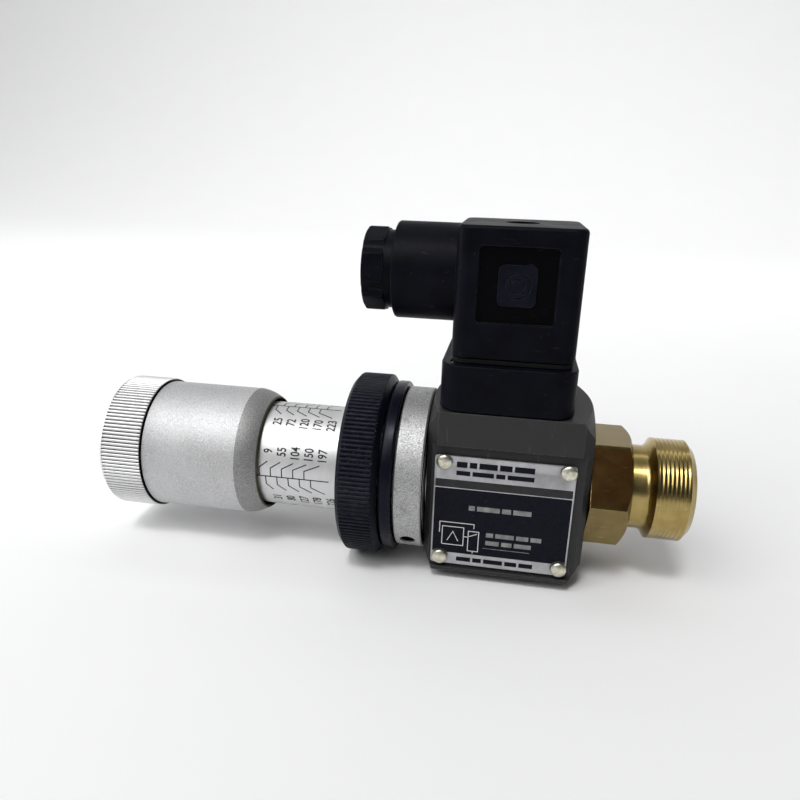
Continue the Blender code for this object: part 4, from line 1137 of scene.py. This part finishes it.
def thread_rule(x0, x1):
    """Radius rule of the shallow helical thread on the port, run out at both ends."""

    def rule(along, radius, angle):
        if radius < PORT_THREAD_R - 0.01 or not x0 < along < x1:
            return radius
        phase = ((along - x0) / THREAD_PITCH - angle / FULL_TURN) % 1.0
        ease = min(1.0, (along - x0) / THREAD_PITCH, (x1 - along) / THREAD_PITCH)
        return radius - THREAD_DEPTH * ease * abs(2.0 * phase - 1.0)

    return rule


def make_fitting(finish):
    """Brass fitting: spigot, hexagon, waisted neck and a male thread round the port."""
    thread_x0 = 36.9
    thread_x1 = 44.8
    rows = int((thread_x1 - thread_x0) / THREAD_PITCH * 8)
    fillet = [(34.8 + 2.1 * t, PORT_NECK_R + 2.2 * t * t) for t in (0.0, 0.2, 0.4, 0.6, 0.8)]
    thread = [(thread_x0 + (thread_x1 - thread_x0) * k / rows, PORT_THREAD_R) for k in range(rows + 1)]
    outline = [
        (FITTING_X0, 0.0), (FITTING_X0, 9.7), (22.0, 9.7), (22.0, PORT_NECK_R),
        *fillet,
        *thread,
        (PORT_END_X - 0.15, PORT_THREAD_R - 1.55), (PORT_END_X, PORT_THREAD_R - 1.7), (PORT_END_X, 0.0),
    ]
    fitting = raw_object("fitting_turned", lathe_mesh(outline, FINE_STEPS, thread_rule(thread_x0, thread_x1)))
    cut(fitting, port_bore_mesh())
    dress(fitting, finish, "switch", "brass", "brass_fitting")
    hexagon = raw_object("fitting_hexagon", hexagon_mesh())
    cut(hexagon, hexagon_chamfer_mesh(), "INTERSECT")
    cut(hexagon, rod_mesh(PORT_NECK_R - 0.02, (15.0, 0.0, AXIS_Z), (1, 0, 0), 25.0, FINE_STEPS))
    soften(hexagon, 0.16)
    dress(hexagon, finish, "switch", "brass", weighted=True)


def hexagon_mesh():
    """Spanner hexagon with its corners facing front and back."""
    corner_r = HEX_ACROSS_FLATS / math.sqrt(3.0)
    left = BODY_HIGH.x + GAP
    return lathe_mesh([(left, 0.0), (left, corner_r), (HEX_X1, corner_r), (HEX_X1, 0.0)], 6)


def hexagon_chamfer_mesh():
    """The cone that trims the hexagon's outer corners."""
    corner_r = HEX_ACROSS_FLATS / math.sqrt(3.0)
    flat_r = HEX_ACROSS_FLATS / 2
    left = BODY_HIGH.x
    outline = [
        (left, 0.0), (left, corner_r + 0.7), (HEX_X1 - 1.6, corner_r + 0.7),
        (HEX_X1 + 0.4, flat_r - 0.9), (HEX_X1 + 0.4, 0.0),
    ]
    return lathe_mesh(outline, FINE_STEPS)


def port_bore_mesh():
    """The female port, the pressure passage and the piston chamber."""
    port_x = PORT_END_X - 12.3
    outline = [
        (FITTING_X0 - 2.0, 0.0), (FITTING_X0 - 2.0, 8.3), (23.1, 8.3), (23.1, 4.6), (27.0, 4.6),
        (27.0, 2.0), (port_x, 2.0), (port_x, PORT_BORE_R), (PORT_END_X - 0.8, PORT_BORE_R),
        (PORT_END_X + 0.2, PORT_BORE_R + 1.0), (PORT_END_X + 0.2, 0.0),
    ]
    return lathe_mesh(outline, MEDIUM_STEPS)


# Connector base and plug


def pin_places():
    """Places of the four blades: x, y and whether the blade is wide along X."""
    places = []
    for node in ("contact_pin_1", "contact_pin_2", "contact_pin_3", "earth_pin"):
        low, high = span(node)
        x, y, _ = centre_of(node)
        places.append((x, y, high.x - low.x > high.y - low.y))
    return places


def blade_slot_mesh(x, y, wide_x, z0, height):
    """A slot tool a gap larger than one blade all round."""
    blade_width = 6.3
    blade_thickness = 0.8
    half_long = (blade_width + 2 * GAP) / 2
    half_thin = (blade_thickness + 2 * GAP) / 2
    half_x, half_y = (half_long, half_thin) if wide_x else (half_thin, half_long)
    return block_mesh((x - half_x, y - half_y, z0), (x + half_x, y + half_y, z0 + height))


def make_base(finish):
    """Square moulded base under the plug, with its blade slots and screw holes."""
    corner = 5.0
    base = raw_object("base_moulding", rounded_block(BASE_LOW, BASE_HIGH, corner, segments=14))
    soften(base, 0.35, 3)
    cavity_half = 9.8
    low = (-cavity_half, -cavity_half, BASE_LOW.z - 2.0)
    high = (cavity_half, cavity_half, BASE_HIGH.z - 3.0)
    cut(base, block_mesh(low, high))
    cut(base, rod_mesh(3.5, (0, 0, BASE_HIGH.z - 7.5), (0, 0, 1), 6.0), "UNION")
    for x, y, wide_x in pin_places():
        cut(base, blade_slot_mesh(x, y, wide_x, BASE_HIGH.z - 5.0, 10.0))
    cut(base, rod_mesh(1.8, (0, 0, BASE_LOW.z - 1.0), (0, 0, 1), 14.0))
    for node in ("base_screw_1", "base_screw_2"):
        x, y, _ = centre_of(node)
        cut(base, rod_mesh(1.8, (x, y, BASE_LOW.z - 1.0), (0, 0, 1), 14.0))
        cut(base, rod_mesh(2.5, (x, y, BASE_HIGH.z - 2.5), (0, 0, 1), 4.0))
    dress(base, finish, "switch", "black_plastic", "connector_base", weighted=True)


def make_shell(finish):
    """Plug housing with its gland barrel, front recess, cavity and screw hole."""
    corner = 3.0
    rim_bevel = 1.0
    half_x = SHELL_HIGH.x
    low = (-half_x, SHELL_LOW.y, SHELL_LOW.z)
    bm = rounded_block(low, SHELL_HIGH, corner, segments=10)
    rim = [edge for edge in bm.edges if all(vert.co.z > SHELL_HIGH.z - 0.01 for vert in edge.verts)]
    bmesh.ops.bevel(bm, geom=rim, offset=rim_bevel, segments=5, profile=0.5, affect="EDGES")
    shell = raw_object("shell_moulding", bm)
    front = SHELL_LOW.y
    cut(shell, rounded_block((-9.1, front - 2.0, 64.6), (8.6, front + 1.0, 82.0), 1.0, 1, 6))
    soften(shell, 0.22, 2)
    cut(shell, rounded_block((-12.2, -11.8, SHELL_LOW.z - 2.0), (12.2, 11.8, 81.0), 1.5, 2, 4))
    cut(shell, gland_barrel_mesh(), "UNION")
    cut(shell, rod_mesh(5.3, (-15.4, 0.0, CABLE_Z), (1, 0, 0), 5.0))
    cut(shell, rod_mesh(4.0, (0, 0, SHELL_HIGH.z - 3.2), (0, 0, 1), 5.0))
    cut(shell, rod_mesh(1.8, (0, 0, 78.0), (0, 0, 1), 9.0))
    dress(shell, finish, "plug", "black_plastic", "plug_shell", weighted=True)


def gland_barrel_mesh():
    """Round barrel on the plug's side with its stepped bore."""
    x0 = SHELL_LOW.x
    outline = [
        (x0, 9.8), (x0, GLAND_R - 0.6), (x0 + 0.2, GLAND_R - 0.2), (x0 + 0.6, GLAND_R),
        (-12.6, GLAND_R), (-12.6, CABLE_HOLE_R), (-14.6, CABLE_HOLE_R), (-14.6, 8.8), (-21.9, 8.8),
        (-21.9, 9.8),
    ]
    return lathe_mesh(outline, MEDIUM_STEPS, axis_z=CABLE_Z)


def make_pictogram(finish):
    """Raised plain pictogram of the four-blade contact face, in the plug's front recess."""
    floor_y = SHELL_LOW.y + 1.0
    centre = Vector((-0.25, 0.0, 73.3))
    slot_reach = 1.45
    bm = rounded_block((-4.6, floor_y - 0.45, 68.6), (4.1, floor_y + 0.1, 78.0), 1.4, 1, 8)
    badge = raw_object("shell_pictogram", bm)
    cut(badge, ring_mesh(3.1, 2.6, (centre.x, floor_y - 1.0, centre.z), 0.78))
    for number in range(4):
        turn = number * math.pi / 2
        x = centre.x + slot_reach * math.cos(turn)
        z = centre.z + slot_reach * math.sin(turn)
        wide = number % 2 == 1
        half_x, half_z = (0.85, 0.22) if wide else (0.22, 0.85)
        low = (x - half_x, floor_y - 1.0, z - half_z)
        cut(badge, block_mesh(low, (x + half_x, floor_y - 0.2, z + half_z)))
    soften(badge, 0.07)
    dress(badge, finish, "plug", "black_plastic", weighted=True)


def ring_mesh(outer, inner, start, length):
    """A plain ring tool that runs along +Y from a point."""
    bm = bmesh.new()
    rows = []
    for step in range(SMALL_STEPS):
        turn = step / SMALL_STEPS * FULL_TURN
        row = []
        for radius, shift in ((inner, 0.0), (outer, 0.0), (outer, length), (inner, length)):
            place = (start[0] + radius * math.cos(turn), start[1] + shift, start[2] + radius * math.sin(turn))
            row.append(bm.verts.new(place))
        rows.append(row)
    for here, there in zip(rows, rows[1:] + rows[:1]):
        for index in range(4):
            after = (index + 1) % 4
            bm.faces.new((here[index], here[after], there[after], there[index]))
    return bm


def lobe_rule(edge_x):
    """Radius rule of the gland nut's grip: six flat lobes with scallops between them."""
    lobe_half = math.radians(19.0)
    period = FULL_TURN / 6

    def rule(along, radius, angle):
        if along > edge_x or radius < GLAND_NUT_R - 1.5:
            return radius
        local = (angle - math.radians(8.0) + period / 2) % period - period / 2
        if abs(local) <= lobe_half:
            limit = GLAND_NUT_R * math.cos(lobe_half) / math.cos(local)
        else:
            share = (abs(local) - lobe_half) / (period / 2 - lobe_half)
            limit = GLAND_NUT_R - 0.75 * math.sin(share * math.pi / 2)
        return min(radius, limit)

    return rule


def make_gland_nut(finish):
    """Compression screw of the gland with a scalloped grip."""
    x0 = GLAND_NUT_LOW.x
    grip_x1 = -32.0
    shank_r = 9.5
    hole_r = CABLE_HOLE_R
    outline = [
        (x0, hole_r + 1.0), (x0, GLAND_NUT_R - 1.3), (x0, GLAND_NUT_R - 0.55),
        (x0 + 0.2, GLAND_NUT_R - 0.18), (x0 + 0.6, GLAND_NUT_R), (grip_x1 - 0.25, GLAND_NUT_R),
        (grip_x1, GLAND_NUT_R - 0.25), (grip_x1, shank_r), (GLAND_NUT_HIGH.x, shank_r),
        (GLAND_NUT_HIGH.x, hole_r), (x0 + 1.0, hole_r),
    ]
    bm = lathe_mesh(outline, 6 * 40, lobe_rule(grip_x1 + 0.01), CABLE_Z)
    dress(raw_object("nut_grip", bm), finish, "gland_nut", "black_plastic", "gland_nut")


def make_plug_screw(finish):
    """Slotted cheese-head screw in the plug's top."""
    low = SCREW_LOW
    high = SCREW_HIGH
    seat_z = high.z - 2.3
    head_r = (high.x - low.x) / 2
    profile = [
        (low.z, 0.0), (low.z, 1.1), (low.z + 0.4, 1.5), (seat_z, 1.5), (seat_z, head_r),
        (high.z - 0.5, head_r), (high.z - 0.15, head_r - 0.18), (high.z, head_r - 0.6), (high.z, 0.0),
    ]
    bm = lathe_mesh(profile, SMALL_STEPS, axis_z=0.0)
    bmesh.ops.rotate(bm, cent=(0, 0, 0), matrix=Matrix.Rotation(-math.pi / 2, 3, "Y"), verts=bm.verts)
    screw = raw_object("captive_screw", bm)
    cut(screw, block_mesh((-5.0, -0.45, high.z - 1.1), (5.0, 0.45, high.z + 1.0)))
    dress(screw, finish, "plug", "zinc_steel", "plug_screw")


# Spring


def spring_centres(low_x, fixed_x, start, end, steps):
    """Wire centres along the axis, spaced so that they are even once the spring is fully pressed."""
    travel = 15.0
    places = np.linspace(low_x, fixed_x, 2000)
    share = np.clip((places - low_x) / (fixed_x - low_x), 0.0, 1.0)
    pressed = places + travel * (1.0 - share * share * (3.0 - 2.0 * share))
    first, last = np.interp((start, end), places, pressed)
    return np.interp(np.linspace(first, last, steps + 1), pressed, places)


def make_spring(finish):
    """The coil spring, close at its ends, with coils spaced to lie even once fully pressed."""
    low, high = span("main_spring")
    wire_r = 1.3
    coil_r = (high.y - low.y) / 2 - wire_r
    play = 0.3
    stroke = 0.8
    turns = 6.75
    turn_steps = 28
    sides = 12
    fixed_x = high.x + play
    steps = round(turns * turn_steps)
    centres = spring_centres(low.x, fixed_x, low.x + wire_r, high.x - wire_r - stroke, steps)
    bm = bmesh.new()
    rings = []
    for step, x in enumerate(centres):
        angle = FULL_TURN * step / turn_steps
        out = Vector((0.0, math.cos(angle), math.sin(angle)))
        around = Vector((0.0, -math.sin(angle), math.cos(angle)))
        ahead = centres[min(step + 1, steps)] - centres[max(step - 1, 0)]
        run = around * coil_r * FULL_TURN * 2 / turn_steps + Vector((ahead, 0.0, 0.0))
        side = run.normalized().cross(out)
        centre = Vector((x, 0.0, AXIS_Z)) + out * coil_r
        ring = []
        for k in range(sides):
            turn = FULL_TURN * k / sides
            ring.append(bm.verts.new(centre + (out * math.cos(turn) + side * math.sin(turn)) * wire_r))
        rings.append(ring)
    for ring, after in zip(rings, rings[1:]):
        for k in range(sides):
            other = (k + 1) % sides
            bm.faces.new((ring[k], ring[other], after[other], after[k]))
    bm.faces.new(rings[0])
    bm.faces.new(rings[-1])
    piece = raw_object("coil_spring", bm)
    dress(piece, finish, "switch", "spring_steel", "main_spring")
    piece.parent = None
    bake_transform(piece)


# CAD nodes that keep their own shape


def finish_inner_nodes(metals, polymers):
    """Give every node that still shows its own mesh a finish that suits what it is made of."""
    groups = {
        metals["zinc"]: (
            "spindle", "upper_spring_plate", "lower_spring_plate", "actuator_arm",
            "microswitch_bracket", "microswitch_screw_1", "microswitch_screw_2",
            "base_screw_1", "base_screw_2", "gland_washer",
        ),
        metals["ground"]: ("thrust_ball", "push_rod", "piston"),
        metals["bronze"]: ("spindle_bush", "piston_bush"),
        metals["contact"]: (
            "microswitch_terminal_1", "microswitch_terminal_2", "microswitch_terminal_3",
            "socket_contact_1", "socket_contact_2", "socket_contact_3", "socket_contact_4",
        ),
        metals["tinned"]: ("contact_pin_1", "contact_pin_2", "contact_pin_3", "earth_pin"),
        polymers["rubber"]: (
            "sleeve_wiper", "piston_seal", "fitting_o_ring", "plug_gasket", "gland_grommet",
        ),
        polymers["red"]: ("microswitch_case",),
        polymers["cream"]: ("microswitch_plunger",),
        polymers["wire"]: ("lead_wire_1", "lead_wire_2", "lead_wire_3"),
        polymers["grey"]: ("terminal_insert",),
    }
    for finish, names in groups.items():
        for name in names:
            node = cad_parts[name]
            node.data.materials.clear()
            node.data.materials.append(finish)


# Stage


def make_camera():
    """The camera at the picture's viewing angle."""
    place = Vector((-1.055, -167.152, AXIS_Z + 75.443)) * MM
    turn = Euler([math.radians(a) for a in (71.306, -1.610, 9.786)])
    data = bpy.data.cameras.new("camera")
    data.sensor_width = 36.0
    data.lens = 30.416
    data.clip_start = 0.01
    data.clip_end = 20.0
    camera = bpy.data.objects.new("camera", data)
    camera.location = place
    camera.rotation_euler = turn
    bpy.context.scene.collection.objects.link(camera)
    bpy.context.scene.camera = camera


def make_floor():
    """A plain pale sweep: a level floor under the lowest point that curves up into a wall."""
    level = CAD_BOX[0].z / MM
    extent = 4000.0
    bend_y = 900.0
    bend_r = 900.0
    profile = [(-extent, level), (bend_y, level)]
    for step in range(1, 33):
        angle = step / 32 * math.pi / 2
        profile.append((bend_y + bend_r * math.sin(angle), level + bend_r * (1.0 - math.cos(angle))))
    profile.append((bend_y + bend_r, extent))
    bm = bmesh.new()
    rows = [[bm.verts.new((x, y, z)) for x in (-extent, extent)] for y, z in profile]
    for here, there in zip(rows, rows[1:]):
        bm.faces.new((here[0], here[1], there[1], there[0]))
    floor = raw_object("floor", bm)
    floor.data.shade_smooth()
    f = Finish("floor_pale", specular=0.05)
    tone = f.tint(f.noise(60.0, 3.0), (0.88, 0.88, 0.885), (0.90, 0.90, 0.90))
    floor.data.materials.append(f.done(tone, 0.9))


def area_light(name, place, aim, size, power):
    """A rectangular soft light that looks at a point."""
    data = bpy.data.lights.new(name, "AREA")
    data.shape = "RECTANGLE"
    data.size, data.size_y = size
    data.energy = power
    lamp = bpy.data.objects.new(name, data)
    lamp.location = place
    way = Vector(aim) - Vector(place)
    lamp.rotation_euler = way.to_track_quat("-Z", "Y").to_euler()
    bpy.context.scene.collection.objects.link(lamp)


def make_lights():
    """Soft boxes at the front left, on the left and on the wall, a soft sun and a graded room."""
    area_light("key", (-0.36, -0.42, 0.64), (-0.03, 0.0, 0.02), (0.60, 0.50), 3.4)
    area_light("left", (-0.75, 0.0, 0.20), (0.0, 0.0, 0.04), (0.22, 0.34), 1.2)
    area_light("wall", (0.0, 0.45, 0.95), (0.0, 1.45, 0.30), (2.4, 1.0), 11.0)
    sun_data = bpy.data.lights.new("sun", "SUN")
    sun_data.energy = 0.95
    sun_data.angle = math.radians(11.0)
    sun = bpy.data.objects.new("sun", sun_data)
    sun.rotation_euler = Vector((0.10, 0.42, -0.90)).to_track_quat("-Z", "Y").to_euler()
    bpy.context.scene.collection.objects.link(sun)
    world = bpy.data.worlds.new("room")
    world.use_nodes = True
    tree = world.node_tree
    background = next(n for n in tree.nodes if n.type == "BACKGROUND")
    background.inputs["Color"].default_value = (0.97, 0.98, 1.0, 1.0)
    place = tree.nodes.new("ShaderNodeTexCoord")
    toward_left = tree.nodes.new("ShaderNodeVectorMath")
    toward_left.operation = "DOT_PRODUCT"
    toward_left.inputs[1].default_value = (-0.75, 0.60, 0.20)
    tree.links.new(place.outputs["Generated"], toward_left.inputs[0])
    level = tree.nodes.new("ShaderNodeMapRange")
    level.inputs["From Min"].default_value = -0.65
    level.inputs["From Max"].default_value = 0.75
    level.inputs["To Min"].default_value = 0.05
    level.inputs["To Max"].default_value = 0.42
    tree.links.new(toward_left.outputs["Value"], level.inputs["Value"])
    tree.links.new(level.outputs["Result"], background.inputs["Strength"])
    bpy.context.scene.world = world
    bpy.context.scene.view_settings.view_transform = "Standard"


def build():
    """Make the stage, the finishes and every visible piece."""
    make_camera()
    make_floor()
    make_lights()
    steel = worked_metal("zinc_steel", (0.50, 0.50, 0.50), (0.66, 0.66, 0.65), 0.28)
    shell_black = moulded_black("shell_black")
    make_body(body_black())
    make_nameplate(
        plate_silver(),
        plate_print("plate_black", (0.0022, 0.0024, 0.0075), (0.006, 0.006, 0.013), 0.22),
        plate_print("plate_grey", (0.020, 0.020, 0.022), (0.045, 0.045, 0.047), 0.3),
        plate_print("plate_white", (0.62, 0.62, 0.62), (0.80, 0.80, 0.80), 0.4),
        plate_print("plate_worn", (0.05, 0.05, 0.052), (0.42, 0.42, 0.42), 0.4),
    )
    make_rivets(rivet_nickel())
    make_knurled_cap(knurl_silver())
    make_sleeve(blasted_silver())
    make_barrel(scale_silver())
    ink = scale_ink()
    make_scale_lines(ink)
    make_scale_readings(ink)
    make_ring_nut(nut_black())
    make_clamp_ring(ring_black())
    make_flange_ring(cast_silver())
    make_neck(steel)
    make_knob_screw(steel)
    make_fitting(fitting_brass())
    make_base(moulded_black("base_black", 0.34, 0.34))
    make_shell(shell_black)
    # The badge is a lighter copy of the shell's black: a painted highlight so that it stands out in the
    # recess.
    make_pictogram(moulded_black("badge_black", 0.2, 0.30, 1.8))
    make_gland_nut(moulded_black("gland_black", 0.22, 0.32))
    make_plug_screw(steel)
    make_spring(worked_metal("spring_steel", (0.10, 0.10, 0.11), (0.20, 0.19, 0.19), 0.32))
    metals = {
        "zinc": steel,
        "ground": worked_metal("ground_steel", (0.56, 0.56, 0.57), (0.70, 0.70, 0.70), 0.16),
        "bronze": worked_metal("bush_bronze", (0.52, 0.33, 0.14), (0.66, 0.45, 0.20), 0.30),
        "contact": worked_metal("contact_brass", (0.62, 0.45, 0.18), (0.78, 0.60, 0.30), 0.22),
        "tinned": worked_metal("tinned_blade", (0.62, 0.62, 0.60), (0.78, 0.78, 0.76), 0.24),
    }
    polymers = {
        "rubber": plain_polymer("rubber", (0.0022, 0.0023, 0.0030), (0.0050, 0.0052, 0.0060), 0.72, 0.4),
        "red": plain_polymer("switch_red", (0.22, 0.025, 0.018), (0.34, 0.045, 0.030), 0.40),
        "cream": plain_polymer("plunger_cream", (0.55, 0.50, 0.38), (0.66, 0.60, 0.46), 0.35),
        "wire": plain_polymer("wire_black", (0.012, 0.012, 0.013), (0.030, 0.030, 0.032), 0.42, 0.2),
        "grey": plain_polymer("insert_grey", (0.045, 0.046, 0.050), (0.080, 0.080, 0.084), 0.42),
    }
    finish_inner_nodes(metals, polymers)


build()
bpy.context.view_layer.update()
